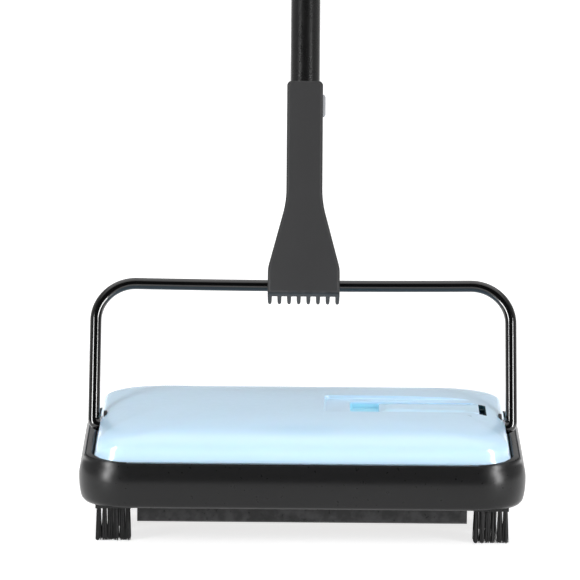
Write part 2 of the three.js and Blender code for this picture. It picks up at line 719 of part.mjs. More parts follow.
// The comb's outline in the X-Z plane, its inset moved in evenly by a wall. A straight flare runs from
// the broad foot to the neck, with a tight bend at the foot and a long one at the neck.
function combOutline(inset) {
  const [footBlend, neckBlend] = [3, 9];
  const neck = combHigh - combNeck;
  const wide = neck - combFlare;
  const shape = new THREE.Shape();
  const [narrow, broad] = [combTopHalf - inset, combHalf - inset];
  const slope = (broad - narrow) / combFlare;
  const foot = combLow - (inset ? 2 : 0);
  shape.moveTo(-broad, foot);
  shape.lineTo(broad, foot);
  shape.lineTo(broad, wide - footBlend);
  shape.quadraticCurveTo(broad, wide, broad - footBlend * slope, wide + footBlend);
  shape.lineTo(narrow + neckBlend * slope, neck - neckBlend);
  shape.quadraticCurveTo(narrow, neck, narrow, neck + neckBlend);
  shape.lineTo(narrow, combHigh - 3);
  shape.lineTo(narrow - (inset ? 0 : 2), combHigh - inset);
  shape.lineTo(-narrow + (inset ? 0 : 2), combHigh - inset);
  shape.lineTo(-narrow, combHigh - 3);
  shape.lineTo(-narrow, neck + neckBlend);
  shape.quadraticCurveTo(-narrow, neck, -narrow - neckBlend * slope, neck - neckBlend);
  shape.lineTo(-broad + footBlend * slope, wide + footBlend);
  shape.quadraticCurveTo(-broad, wide, -broad, wide - footBlend);
  return shape;
}

function comb() {
  const [low, high, front] = [combLow, combHigh, combFront];
  const outer = plateY(combOutline(0), front, combBack);
  const hollow = plateY(combOutline(combWall), front + combWall, combBack + 1);
  // The top end is open for the pole
  const poleWay = block([-poleRadius - gap, front + combWall, high - 20], [poleRadius + gap, combBack + 1, high + 5]);
  const lip = block([-combHalf, front, low], [combHalf, front + lipLength, low + combWall]);
  const pitch = (2 * combHalf - toothWidth) / (toothCount - 1);
  const teeth = [];
  for (let tooth = 0; tooth < toothCount; tooth += 1) {
    const x = -combHalf + tooth * pitch;
    const tip = front + lipLength + toothLength;
    teeth.push(plateX([[front + lipLength - 1, low], [tip - 1.5, low], [tip, low + 0.7],
      [tip - 1.5, low + combWall - 0.2], [front + lipLength - 1, low + combWall]], x, x + toothWidth));
  }
  const notch = bailRadius + 0.6;
  const legEnd = bailHeight - notch;
  const bailWay = joined(
    rodX(notch, -combHalf - 1, combHalf + 1, 0, bailHeight),
    block([-combHalf - 1, 0, legEnd], [combHalf + 1, combBack + 1, bailHeight + notch]),
    block([-combHalf - 1, front + lipLength, low - 3], [combHalf + 1, combBack + 1, bailHeight - notch + 0.1]));
  const buttonZ = buttonMiddle;
  const window = block([0, buttonPlace - button.depth / 2 - gap, buttonZ - button.length / 2 - gap],
    [combTopHalf + 1, buttonPlace + button.depth / 2 + gap, buttonZ + button.length / 2 + gap]);
  const shell = cut(outer, hollow, poleWay, bailWay, window);
  return joined(shell, lip, ...teeth);
}

function combButton() {
  const middle = buttonMiddle;
  const half = button.length / 2;
  const [foot, top] = [combTopHalf - combWall + 0.2, combTopHalf + button.proud];
  return plateY([[foot, middle - half], [foot, middle + half], [combTopHalf, middle + half],
    [top, middle + half - 3], [top, middle - half + 3], [combTopHalf, middle - half]],
    buttonPlace - button.depth / 2, buttonPlace + button.depth / 2);
}

// ---- Assembly -------------------------------------------------------------------------------

const body = new THREE.Group();
body.position.y = originShift;

body.add(piece('base_frame', baseFrame(), blackPlastic));
body.add(piece('top_cover', topCover(), bluePlastic));

for (const { name, x, y } of screwPlaces) {
  const screw = upright([[0, baseBottom + 0.6], [3, baseBottom + 0.6], [3, baseBottom + 3.4],
    [1.5, baseBottom + 3.9], [1.5, baseBottom + 31], [0, baseBottom + 32.5]], 12).translate([x, y, 0]);
  body.add(piece(name, screw, steel));
}

body.add(piece('release_slider', releaseSlider(), deepBluePlastic));
body.add(piece('release_bar', releaseBar(), greyPlastic));

for (const [sideName, side] of sides) {
  body.add(piece(`dust_pan_${sideName}`, dustPan(side), blackPlastic));
  body.add(piece(`pan_rod_${sideName}`, panRod(side), steel));
  body.add(piece(`pan_spring_${sideName}`, panSpring(side), steel));
}

body.add(piece('roller_core', turned(ringProfile(rollerAxleRadius + gap, coreRadius, -coreHalf, coreHalf, 1), 20,
  0, 0, rollerHeight), rollerWood));
body.add(piece('roller_axle', turned(rodProfile(rollerAxleRadius, -axleHalf, axleHalf), 14, 0, 0, rollerHeight), steel));
for (let strip = 0; strip < stripCount; strip += 1) {
  body.add(piece(`bristle_strip_${strip + 1}`, stripPlaced(strip * 2 * Math.PI / stripCount), bristle));
}

for (const [endName, end] of ends) {
  const middle = end * bayMiddle;
  const halfWheel = wheelWidth / 2;
  body.add(piece(`friction_drum_${endName}`,
    turned(ringProfile(rollerAxleRadius + gap, drumRadius, -halfWheel, halfWheel, 0.6), 22, middle, 0, rollerHeight), rubber));
  const web = end * (panBayHalf + webInner) / 2;
  body.add(piece(`roller_bush_${endName}`,
    turned(ringProfile(rollerAxleRadius + gap, rollerAxleRadius + gap + bushWall, -2, 2), 14, web, 0, rollerHeight), greyPlastic));
  const lugMiddle = end * (webOuter + lugEnd) / 2;
  const bushHalf = (lugEnd - webOuter) / 2;
  body.add(piece(`bail_bush_${endName}`,
    turned(ringProfile(bailRadius + gap, bailRadius + gap + bushWall, -bushHalf, bushHalf), 14, lugMiddle, 0, pivotHeight),
    greyPlastic));
  for (const [sideName, side] of sides) {
    const [y, name] = [side * axleSpread, `${sideName}_${endName}`];
    body.add(piece(`wheel_hub_${name}`, turned(hubProfile(halfWheel), 16, middle, y, wheelRadius), greyPlastic));
    body.add(piece(`tyre_${name}`,
      turned(ringProfile(wheelRadius - tyreThickness, wheelRadius, -halfWheel, halfWheel, 1), 24, middle, y, wheelRadius),
      rubber));
    const pin = [panBayHalf - 0.4, webOuter + webThickness + 0.4].map((x) => end * x).sort((a, b) => a - b);
    body.add(piece(`wheel_axle_${name}`, turned(rodProfile(wheelAxleRadius, ...pin), 12, 0, y, wheelRadius), steel));
    body.add(piece(`corner_brush_holder_${name}`, brushHolder(end, side), blackPlastic));
    body.add(piece(`corner_bristles_${name}`, cornerBristles(end, side), bristle));
  }
}

const handle = new THREE.Group();
handle.position.set(0, originShift, pivotHeight);
handle.rotation.x = -lean;

handle.add(piece('bail', bail(), blackWire));
for (const [endName, end] of ends) {
  const clip = [footEnd + 0.8, webOuter - 2].map((x) => end * x).sort((a, b) => a - b);
  handle.add(piece(`bail_clip_${endName}`, turned(ringProfile(bailRadius + gap, bailRadius + 1.8, ...clip, 0.3), 14), steel));
}
let sectionStart = poleStart;
['pole_lower', 'pole_middle', 'pole_upper'].forEach((name, order) => {
  const length = sectionLengths[order];
  let tube = poleSection(sectionStart, length, order < 2);
  if (order === 0) tube = cut(tube, rodY(1.8, -poleRadius - 1, poleRadius + 1, spigotTop - rivetDrop));
  handle.add(piece(name, tube, blackTube));
  sectionStart += length + gap;
});
handle.add(piece('pole_rivet', rodY(1.5, -poleRadius + 0.1, poleRadius - 0.1, spigotTop - rivetDrop), steel));
handle.add(piece('grip', gripSleeve(), gripFoam));
handle.add(piece('grip_cap', gripCap(), blackPlastic));
handle.add(piece('comb', comb(), combPlastic));
handle.add(piece('comb_button', combButton(), greyPlastic));

const group = new THREE.Group();
group.add(body, handle);

export default group;
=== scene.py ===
"""A manual carpet sweeper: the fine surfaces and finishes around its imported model.

Shapes are worked out in millimetres in two small frames, the body's (its middle over the roller, the
floor at 0) and the handle's (upright from the bail's pivot), and placed in metres in the row frame.
"""

import json
import math
import random

import bmesh
import bpy
from mathutils import Matrix, Vector


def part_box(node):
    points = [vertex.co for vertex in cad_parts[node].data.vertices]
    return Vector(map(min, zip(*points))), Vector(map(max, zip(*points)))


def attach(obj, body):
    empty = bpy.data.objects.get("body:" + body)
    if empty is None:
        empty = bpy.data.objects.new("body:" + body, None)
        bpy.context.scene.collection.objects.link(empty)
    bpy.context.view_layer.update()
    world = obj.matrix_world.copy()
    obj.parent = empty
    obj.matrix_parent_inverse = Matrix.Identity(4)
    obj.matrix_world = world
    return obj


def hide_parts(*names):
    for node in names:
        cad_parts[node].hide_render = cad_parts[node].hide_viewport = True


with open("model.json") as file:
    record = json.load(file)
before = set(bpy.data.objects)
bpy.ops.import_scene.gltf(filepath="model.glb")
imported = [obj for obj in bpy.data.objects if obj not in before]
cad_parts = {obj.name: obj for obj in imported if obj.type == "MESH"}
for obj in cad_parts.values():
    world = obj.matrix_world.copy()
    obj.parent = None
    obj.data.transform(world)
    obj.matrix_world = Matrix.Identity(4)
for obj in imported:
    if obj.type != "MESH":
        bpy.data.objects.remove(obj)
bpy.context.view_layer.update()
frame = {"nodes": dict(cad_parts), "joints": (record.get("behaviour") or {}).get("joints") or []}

MM = 0.001
TURN = 2 * math.pi
ENDS = (("left", -1), ("right", 1))
SIDES = ("front", "rear")
CORNERS = [f"{side}_{end}" for side in SIDES for end, _ in ENDS]

# ---- Places, from the frame ------------------------------------------------------------------

base_low, base_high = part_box("base_frame")
cover_low, cover_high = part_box("top_cover")
joints = {joint["name"]: joint for joint in frame["joints"]}
pivot = Vector(joints["bail_swing"]["pos_m"])
LEAN = math.radians(30)
BODY = Matrix.Translation((0, (base_low.y + base_high.y) / 2, 0)) @ Matrix.Scale(MM, 4)
HANDLE = Matrix.Translation(pivot) @ Matrix.Rotation(-LEAN, 4, "X") @ Matrix.Scale(MM, 4)
WORLD = Matrix.Identity(4)


def size_of(low, high):
    return [(b - a) / MM for a, b in zip(low, high)]


body_width, body_depth, _ = size_of(base_low, base_high)
cover_width, cover_depth, _ = size_of(cover_low, cover_high)
cover_top = cover_high.z / MM

# ---- Sizes of the fine shapes (millimetres) --------------------------------------------------

BASE_BOTTOM = 26
RIM = 55.6
COVER_SKIRT = 52.3
COVER_SHOULDER = 59.4
RECESS = {"start": 15, "end": 150, "half": 27, "floor": cover_top - 2.5, "corner": 4}
POCKET = {"start": 32, "end": 124, "half": 16, "floor": cover_top - 7, "corner": 2.5}
PLATE = {"start": 51.5, "end": 119.5, "half": 15.5, "low": cover_top - 6.7, "thick": 3.6}
SLOT = {"start": 120.2, "end": 123.6, "half": 14.5}
STEM = {"start": 80.5, "end": 90.5, "half": 5, "slot_start": 65.5, "slot_end": 91.5, "slot_half": 6}
LUG_END = {"inner": 134.8, "outer": 146, "half": 14}
BAIL = {"radius": 3.8, "half": 141.6, "height": 102, "corner": 27, "foot": 4.2, "end": 127, "pivot": 62}
POLE = {"radius": 10.2, "wall": 0.5, "start": 108.5, "sections": (225, 320, 300), "gap": 0.3}
GRIP_RADIUS = POLE["radius"] + 2.5
BUSH_RADIUS = BAIL["radius"] + 2
COMB = {"low": 91.8, "length": 156, "neck": 88.8, "flare": 48.5, "top_half": 12.4, "half": 24.6,
        "front": -12.3, "back": 11.9, "wall": 1.8, "lip": 7.4, "tooth": 16.6, "teeth": 8,
        "tooth_width": 3}
BUTTON = {"back": POLE["radius"] - 2.2, "middle": COMB["low"] + COMB["length"] - 11.3}
WHEEL = {"radius": 22, "width": 12, "tyre": 3, "bore": 2.8}
ROLLER = {"core": 12, "tip": 30.5, "half": 110.5, "axis": 31, "twist": math.radians(50)}
DRUM = {"bore": 3.3, "edge": 12.2, "radius": 13, "half": 6, "ribs": 36}
BAIL_BORE = BAIL["radius"] + 0.3
# Plain turned pieces: bore, radius, half length, rounding of the edges.
TURNED = {"roller_core": (3.3, ROLLER["core"], ROLLER["half"], 1), "roller_axle": (0.01, 3, 132.2, 0.5),
          "pan_rod": (0.01, 1.5, 116.8, 0.3), "roller_bush": (3.3, 5, 2, 0.4),
          "bail_bush": (BAIL_BORE, BAIL_BORE + 1.7, 2.1, 0.4),
          "bail_clip": (BAIL_BORE, BAIL_BORE + 1.5, 1.5, 0.3), "wheel_axle": (0.01, 2.5, 11, 0.4)}


# ---- Shader maths ----------------------------------------------------------------------------

class Value:
    """One shader number. Sums and products of values add their Math nodes."""

    def __init__(self, finish, socket):
        self.finish = finish
        self.socket = socket

    def _with(self, operation, *others, swap=False):
        inputs = [self, *others]
        if swap:
            inputs.reverse()
        return self.finish.node("ShaderNodeMath", {"operation": operation}, dict(enumerate(inputs)))

    def __add__(self, other):
        return self._with("ADD", other)

    def __sub__(self, other):
        return self._with("SUBTRACT", other)

    def __mul__(self, other):
        return self._with("MULTIPLY", other)

    def __pow__(self, other):
        return self._with("POWER", other)

    def __rsub__(self, other):
        return self._with("SUBTRACT", other, swap=True)

    __radd__ = __add__
    __rmul__ = __mul__

    def __abs__(self):
        return self._with("ABSOLUTE")

    def between(self, low, high):
        """0 below low, 1 above high, smooth in between."""
        return self.finish.node("ShaderNodeMapRange", {"interpolation_type": "SMOOTHSTEP"},
                                {"Value": self, "From Min": low, "From Max": high})


class Finish:
    """A procedural material around one Principled shader."""

    def __init__(self, name, color, **constants):
        self.material = bpy.data.materials.new(name)
        self.material.use_nodes = True
        self.tree = self.material.node_tree
        self.shader = next(n for n in self.tree.nodes if n.type == "BSDF_PRINCIPLED")
        self.color = (*color, 1)
        self.shader.inputs["Base Color"].default_value = self.color
        self.material.diffuse_color = self.color
        for socket, value in constants.items():
            self.shader.inputs[socket.replace("_", " ")].default_value = value

    def node(self, kind, settings=None, inputs=None, output=0):
        node = self.tree.nodes.new(kind)
        for name, value in (settings or {}).items():
            if name == "stops":
                for element, (place, shade) in zip(node.color_ramp.elements, value):
                    element.position, element.color = place, shade
            else:
                setattr(node, name, value)
        for name, value in (inputs or {}).items():
            if isinstance(value, Value):
                self.tree.links.new(value.socket, node.inputs[name])
            else:
                node.inputs[name].default_value = value
        return Value(self, node.outputs[output])

    def feed(self, socket, value):
        self.tree.links.new(value.socket, self.shader.inputs[socket])

    # -- things that vary over a surface

    def place(self, stretch=(1, 1, 1)):
        """Object coordinates in metres, stretched."""
        at = self.node("ShaderNodeTexCoord", output=3)
        return self.node("ShaderNodeMapping", {}, {"Vector": at, "Scale": stretch})

    def noise(self, scale, detail=3, stretch=(1, 1, 1), roughness=0.5):
        return self.node("ShaderNodeTexNoise", {}, {
            "Vector": self.place(stretch), "Scale": scale, "Detail": detail, "Roughness": roughness})

    def axis(self, name):
        at = self.node("ShaderNodeTexCoord", output=3)
        return self.node("ShaderNodeSeparateXYZ", {}, {"Vector": at}, output="XYZ".index(name))

    def tint(self, mask, other):
        """The finish's colour, turning into another where the mask is 1."""
        start = getattr(self, "tinted", None)
        mix = self.tree.nodes.new("ShaderNodeMix")
        mix.data_type = "RGBA"
        self.tree.links.new(mask.socket, mix.inputs[0])
        if start:
            self.tree.links.new(start, mix.inputs[6])
        else:
            mix.inputs[6].default_value = self.color
        mix.inputs[7].default_value = (*other, 1)
        self.tinted = mix.outputs[2]
        self.tree.links.new(self.tinted, self.shader.inputs["Base Color"])

    def relief(self, height, distance, strength=1.0):
        bump = self.tree.nodes.new("ShaderNodeBump")
        bump.inputs["Strength"].default_value = strength
        bump.inputs["Distance"].default_value = distance
        self.tree.links.new(height.socket, bump.inputs["Height"])
        before = getattr(self, "bumped", None)
        if before:
            self.tree.links.new(before, bump.inputs["Normal"])
        self.bumped = bump.outputs[0]
        self.tree.links.new(self.bumped, self.shader.inputs["Normal"])

    def worn_edges(self, color, amount=0.5):
        """A lighter rub where the surface turns sharply."""
        edge = self.node("ShaderNodeNewGeometry", output=7).between(0.52, 0.62)
        self.tint(edge * self.noise(160).between(0.35, 0.7) * amount, color)


def dark(level):
    return (level, level, level * 1.04)


# ---- Finishes --------------------------------------------------------------------------------

def cover_plastic(name, color, painted_pit_light):
    """Glossy moulded plastic: faint flow waviness, painted bounce light (a more saturated cyan) in the finger
    pit, painted shade (near black) in the slot.
    """
    finish = Finish(name, color, Roughness=0.24, Coat_Weight=0.35, Coat_Roughness=0.08,
                    Subsurface_Weight=0.06, Subsurface_Scale=0.004)
    cloud = finish.noise(18, 2)
    finish.tint(cloud.between(0.3, 0.75) * 0.35, [c * 0.965 for c in color])
    x, y, z = (finish.axis(name) for name in "XYZ")
    finger_gap, slot_middle, slot_half = 44, 121.8, 2.3
    beside = 1 - abs(y - BODY.translation.y).between((POCKET["half"] + 0.4) * MM, (POCKET["half"] + 1) * MM)
    sunk = beside * (1 - z.between((RECESS["floor"] - 1.7) * MM, (RECESS["floor"] - 0.4) * MM))
    # Painted bounce light: the sunk faces round the finger pit turn a more saturated cyan, as light
    # reflecting between blue walls would make them.
    finish.tint(sunk * (1 - abs(x - finger_gap * MM).between(18 * MM, 26 * MM)) * 0.9, painted_pit_light)
    # Painted shade: the blue turns near black on the slot's walls and on the slider's end beside it, where
    # the slot lies in shadow.
    slot_shade = 1 - abs(x - slot_middle * MM).between(slot_half * MM, (slot_half + 0.3) * MM)
    finish.tint(sunk * slot_shade, (0.01, 0.05, 0.065))
    finish.feed("Roughness", 0.2 + finish.noise(240, 4) * 0.09)
    finish.relief(finish.noise(36, 2), 0.00012)
    finish.relief(finish.noise(1400, 2), 0.000012)
    return finish.material


def moulded_black(name, level, roughness, grain=0.00003, rub=0.16):
    """Black moulded plastic with a spark-eroded grain and slightly polished patches."""
    finish = Finish(name, dark(level), Roughness=roughness, Specular_IOR_Level=0.27)
    finish.tint(finish.noise(22, 3).between(0.35, 0.75) * 0.2, dark(level * 1.25))
    finish.worn_edges(dark(rub), 0.15)
    finish.feed("Roughness", (roughness - 0.07) + finish.noise(320, 4) * 0.14)
    finish.relief(finish.noise(1500, 3), grain)
    finish.relief(finish.noise(60, 2), grain * 3, 0.5)
    return finish.material


def coated_metal(name, level, roughness, streaks=False, coat=0.8):
    """Black baked enamel: a clear gloss with slight orange peel, or drawn streaks on the tube."""
    finish = Finish(name, dark(level), Metallic=0.0, Roughness=roughness, Coat_Weight=coat,
                    Coat_Roughness=0.05, Specular_IOR_Level=0.35)
    finish.tint(finish.noise(30, 3).between(0.4, 0.8) * 0.6, dark(level * 1.8))
    finish.feed("Roughness", roughness + finish.noise(180, 3) * 0.08)
    finish.relief(finish.noise(420, 2), 0.00002)
    if streaks:
        finish.relief(finish.noise(60, 3, stretch=(12, 12, 0.4)), 0.00003, 0.6)
    finish.worn_edges(dark(0.12), 0.12)
    return finish.material


def bright_steel(name):
    finish = Finish(name, (0.60, 0.61, 0.63), Metallic=1.0, Roughness=0.28)
    finish.tint(finish.noise(90, 4).between(0.45, 0.8), (0.42, 0.43, 0.45))
    finish.feed("Roughness", 0.2 + finish.noise(900, 3, stretch=(0.05, 1, 1)) * 0.22)
    finish.relief(finish.noise(1600, 2, stretch=(0.05, 1, 1)), 0.00001)
    return finish.material


def turned_wood(name):
    finish = Finish(name, (0.52, 0.36, 0.21), Roughness=0.62)
    rings = finish.noise(26, 6, stretch=(0.12, 1, 1), roughness=0.65)
    finish.tint(rings.between(0.42, 0.62), (0.36, 0.22, 0.115))
    finish.tint(finish.noise(420, 3, stretch=(0.03, 1, 1)).between(0.5, 0.7) * 0.5, (0.28, 0.17, 0.09))
    finish.feed("Roughness", 0.5 + rings * 0.2)
    finish.relief(finish.noise(500, 3, stretch=(0.03, 1, 1)), 0.00006)
    return finish.material


def nylon(name):
    finish = Finish(name, dark(0.01), Roughness=0.42, Specular_IOR_Level=0.3)
    finish.tint(finish.noise(900, 2).between(0.4, 0.7), dark(0.022))
    finish.feed("Roughness", 0.35 + finish.noise(700, 2) * 0.25)
    finish.relief(finish.noise(2500, 2), 0.00002)
    return finish.material


def rubber(name):
    finish = Finish(name, dark(0.035), Roughness=0.8)
    finish.tint(finish.noise(120, 5).between(0.45, 0.75) * 0.7, (0.09, 0.087, 0.083))
    finish.feed("Roughness", 0.68 + finish.noise(500, 3) * 0.22)
    finish.relief(finish.noise(900, 4), 0.00005)
    return finish.material


def grey_plastic(name):
    finish = Finish(name, (0.33, 0.34, 0.36), Roughness=0.45)
    finish.tint(finish.noise(40, 3).between(0.4, 0.75) * 0.5, (0.27, 0.28, 0.3))
    finish.feed("Roughness", 0.4 + finish.noise(300, 3) * 0.15)
    finish.relief(finish.noise(1300, 3), 0.00003)
    return finish.material


BLACK = moulded_black("black_plastic", 0.0085, 0.3, 0.000005)
INNER_BLACK = moulded_black("black_plastic_inner", 0.008, 0.5)
# The last colour of each blue finish is the painted bounce light of the finger pit.
BLUE = cover_plastic("blue_cover_plastic", (0.57, 0.80, 1.0), (0.42, 0.82, 1.0))
SLIDER_BLUE = cover_plastic("blue_slider_plastic", (0.57, 0.81, 1.0), (0.44, 0.78, 0.96))
COMB_GREY = moulded_black("comb_plastic", 0.024, 0.55, 0.00003, 0.12)
GRIP_BLACK = moulded_black("grip_plastic", 0.012, 0.62, 0.00005)
WIRE_BLACK = coated_metal("enamelled_wire", 0.002, 0.1, coat=0.65)
TUBE_BLACK = coated_metal("enamelled_tube", 0.003, 0.24, streaks=True, coat=0.25)
STEEL = bright_steel("bright_steel")
WOOD = turned_wood("turned_wood")
NYLON = nylon("nylon_bristle")
RUBBER = rubber("black_rubber")
GREY = grey_plastic("grey_plastic")


# ---- Mesh work -------------------------------------------------------------------------------

def build(name, verts, faces, place=WORLD, finish=None, sharp=38):
    """A mesh object from points in a small frame, smooth but for its sharp edges."""
    mesh = bpy.data.meshes.new(name)
    mesh.from_pydata([place @ Vector(v) for v in verts], [], faces)
    obj = bpy.data.objects.new(name, mesh)
    bpy.context.scene.collection.objects.link(obj)
    tidy(obj, sharp)
    if finish:
        mesh.materials.append(finish)
    return obj


def tidy(obj, sharp=38):
    bm = bmesh.new()
    bm.from_mesh(obj.data)
    bmesh.ops.remove_doubles(bm, verts=bm.verts, dist=2e-6)
    bmesh.ops.dissolve_degenerate(bm, edges=bm.edges, dist=1e-7)
    bmesh.ops.recalc_face_normals(bm, faces=bm.faces)
    for face in bm.faces:
        face.smooth = True
    for edge in bm.edges:
        turn = edge.calc_face_angle(0) if len(edge.link_faces) == 2 else 0
        edge.smooth = turn < math.radians(sharp)
    bm.to_mesh(obj.data)
    bm.free()


def painted(obj, finish):
    obj.data.materials.clear()
    obj.data.materials.append(finish)
    return obj


def settle(obj):
    """Applies the object's modifiers to its mesh."""
    graph = bpy.context.evaluated_depsgraph_get()
    graph.update()
    mesh = bpy.data.meshes.new_from_object(obj.evaluated_get(graph))
    obj.modifiers.clear()
    old = obj.data
    obj.data = mesh
    bpy.data.meshes.remove(old)
    return obj


def combine(obj, others, operation):
    """Cuts, joins or keeps the common part of obj and each of the others, which are used up."""
    for other in others:
        modifier = obj.modifiers.new(operation, "BOOLEAN")
        modifier.operation = operation
        modifier.solver = "EXACT"
        modifier.object = other
    settle(obj)
    for other in others:
        bpy.data.objects.remove(other)
    return obj


def soften(obj, width, segments=3, angle=35):
    """Rounds the obj's sharp edges."""
    bevel = obj.modifiers.new("soft_edges", "BEVEL")
    bevel.width = width * MM
    bevel.segments = segments
    bevel.limit_method = "ANGLE"
    bevel.angle_limit = math.radians(angle)
    bevel.use_clamp_overlap = True
    bevel.harden_normals = False
    return obj


def rounded(half_x, half_y, radius, arc=8, straight=6):
    """A round-cornered outline, anticlockwise, always with the same number of points."""
    radius = max(min(radius, half_x - 0.01, half_y - 0.01), 0.01)
    points = []
    corners = ((1, -1, -0.25), (1, 1, 0), (-1, 1, 0.25), (-1, -1, 0.5))
    for x_sign, y_sign, start in corners:
        cx, cy = x_sign * (half_x - radius), y_sign * (half_y - radius)
        for step in range(arc + 1):
            angle = (start + 0.25 * step / arc) * TURN
            points.append((cx + radius * math.cos(angle), cy + radius * math.sin(angle)))
    filled = []
    for i, point in enumerate(points):
        filled.append(point)
        if i % (arc + 1) == arc:
            after = points[(i + 1) % len(points)]
            for step in range(1, straight):
                share = step / straight
                filled.append(tuple(a + (b - a) * share for a, b in zip(point, after)))
    return filled


def loft(rings, closed=False):
    """Points and faces of a skin over rings of equal count. closed joins the last to the first."""
    count = len(rings[0])
    verts = [tuple(point) for ring in rings for point in ring]
    faces = []
    for ring in range(len(rings) - (0 if closed else 1)):
        low, high = ring * count, (ring + 1) % len(rings) * count
        for i in range(count):
            after = (i + 1) % count
            faces.append((low + i, low + after, high + after, high + i))
    if not closed:
        faces.append(tuple(reversed(range(count))))
        faces.append(tuple(range((len(rings) - 1) * count, len(rings) * count)))
    return verts, faces


def turned(profile, steps=56, along="X", at=(0, 0, 0)):
    """Points and faces of a profile of (radius, place) turned round an axis. The profile is closed."""
    rings = []
    for step in range(steps):
        angle = TURN * step / steps
        cos, sin = math.cos(angle), math.sin(angle)
        ring = []
        for radius, place in profile:
            local = {"X": (place, radius * cos, radius * sin),
                     "Y": (radius * cos, place, radius * sin),
                     "Z": (radius * cos, radius * sin, place)}[along]
            ring.append(tuple(a + b for a, b in zip(local, at)))
        rings.append(ring)
    return loft(rings, closed=True)


def tube_ring(inner, outer, half, bevel):
    """A profile with rounded outer corners, for turned()."""
    arc = [(outer - bevel + bevel * math.sin(a), bevel - half - bevel * math.cos(a))
           for a in (0, math.pi / 6, math.pi / 3, math.pi / 2)]
    return [(inner, -half)] + arc + [(r, -x) for r, x in reversed(arc)] + [(inner, half)]


def box(low, high):
    xs, ys, zs = zip(low, high)
    verts = [(x, y, z) for x in xs for y in ys for z in zs]
    return verts, [(0, 1, 3, 2), (4, 6, 7, 5), (0, 4, 5, 1), (2, 3, 7, 6), (0, 2, 6, 4), (1, 5, 7, 3)]


def merged(*shapes):
    verts, faces = [], []
    for shape_verts, shape_faces in shapes:
        start = len(verts)
        verts += shape_verts
        faces += [tuple(start + i for i in face) for face in shape_faces]
    return verts, faces


def swept(points, radius, sides=16, across=(0, 1, 0)):
    """A round bar along points that lie in the plane square to across."""
    across = Vector(across)
    rings = []
    for i, point in enumerate(points):
        before, after = points[max(i - 1, 0)], points[min(i + 1, len(points) - 1)]
        side = across.cross((Vector(after) - Vector(before)).normalized())
        rings.append([tuple(Vector(point) + radius * (math.cos(TURN * s / sides) * side
                            + math.sin(TURN * s / sides) * across)) for s in range(sides)])
    return loft(rings)


def finished(obj, body, slot, *nodes):
    """Puts a piece on its body, in place of its CAD nodes."""
    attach(obj, body)
    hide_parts(*nodes)
    return obj


# ---- Body: base and cover --------------------------------------------------------------------

def body_ring(inset_x, inset_y, z, corner=34, lift=0.0):
    """One level of the base. lift raises the ends above the long sides."""
    half_x, half_y = body_width / 2 - inset_x, body_depth / 2 - inset_y
    rise_from, rise_over = 110, 32
    ring = []
    for x, y in rounded(half_x, half_y, corner - min(inset_x, inset_y), arc=12, straight=8):
        end = min(max((abs(x) - rise_from) / rise_over, 0), 1)
        ring.append((x, y, z + lift * end * end * (3 - 2 * end)))
    return ring


def base_shell():
    """Convex outer wall, rounded lower lip and a rim that widens at the two ends."""
    height = RIM - BASE_BOTTOM
    rings = []
    steps = 16
    for step in range(steps + 1):
        share = step / steps
        bulge = 2 * share - 1.1
        inset = (2.0 if bulge < 0 else 4.4) * abs(bulge) ** 2.4 + max(1 - share * 10, 0) ** 2 * 1.2
        rings.append(body_ring(inset + 0.8, inset, BASE_BOTTOM + (share * (height - 2.2)), lift=1.2 * share))
    top = 4.4 * 0.9 ** 2.4
    rim = ((0.5, 0.5, -1.0, 1.3), (1.2, 1.0, -0.3, 1.5), (1.5, 1.25, -0.5, 1.5), (1.7, 1.4, -1.1, 1.4),
           (2.0, 1.6, -1.1, 1.4), (2.2, 1.8, -0.2, 1.4), (3.6, 2.6, 0.3, 1.5), (5.6, 3.4, 0.2, 1.8),
           (6.2, 4.0, -0.6, 1.6), (6.4, 4.2, -3, 1))
    for inset_x, inset_y, rise, lift in rim:
        rings.append(body_ring(top + inset_x, top + inset_y, RIM + rise, lift=lift))
    for z in (48, 36, BASE_BOTTOM + 1):
        rings.append(body_ring(6.4, 5.4, z))
    rings.append(body_ring(5.6, 5.6, BASE_BOTTOM))
    obj = build("base_shell", *loft(rings, closed=True), BODY, BLACK, sharp=50)
    return finished(obj, "base", "base_black", "base_frame")


def base_inside():
    """The webs, ledge, lugs and floors inside the base, with their edges rounded."""
    source = frame["nodes"]["base_frame"]
    obj = bpy.data.objects.new("base_inside", source.data.copy())
    bpy.context.scene.collection.objects.link(obj)
    painted(obj, INNER_BLACK)
    rings = [[(x, y, z) for x, y in rounded(body_width / 2 - 6.8, body_depth / 2 - 5.8, 28)]
             for z in (0, 90)]
    inside = build("inside", *loft(rings), BODY)
    combine(obj, [inside], "INTERSECT")
    lug_ends = []
    for _, end in ENDS:
        near = (end * LUG_END["inner"], -LUG_END["half"], RIM)
        far = (end * LUG_END["outer"], LUG_END["half"], 80)
        lug_ends.append(build("lug_end", *box(*sorted((near, far))), BODY))
    combine(obj, lug_ends, "DIFFERENCE")
    tidy(obj, 30)
    soften(obj, 0.35, 2)
    return finished(obj, "base", "base_black", "base_frame")


def roof(inset):
    """Height of the cover's outside at a distance in from its edge."""
    share = min(max(inset, 0) / (cover_depth / 2), 1)
    power = 3.3
    return COVER_SHOULDER + (cover_top - COVER_SHOULDER) * (1 - (1 - share) ** power) ** (1 / power)


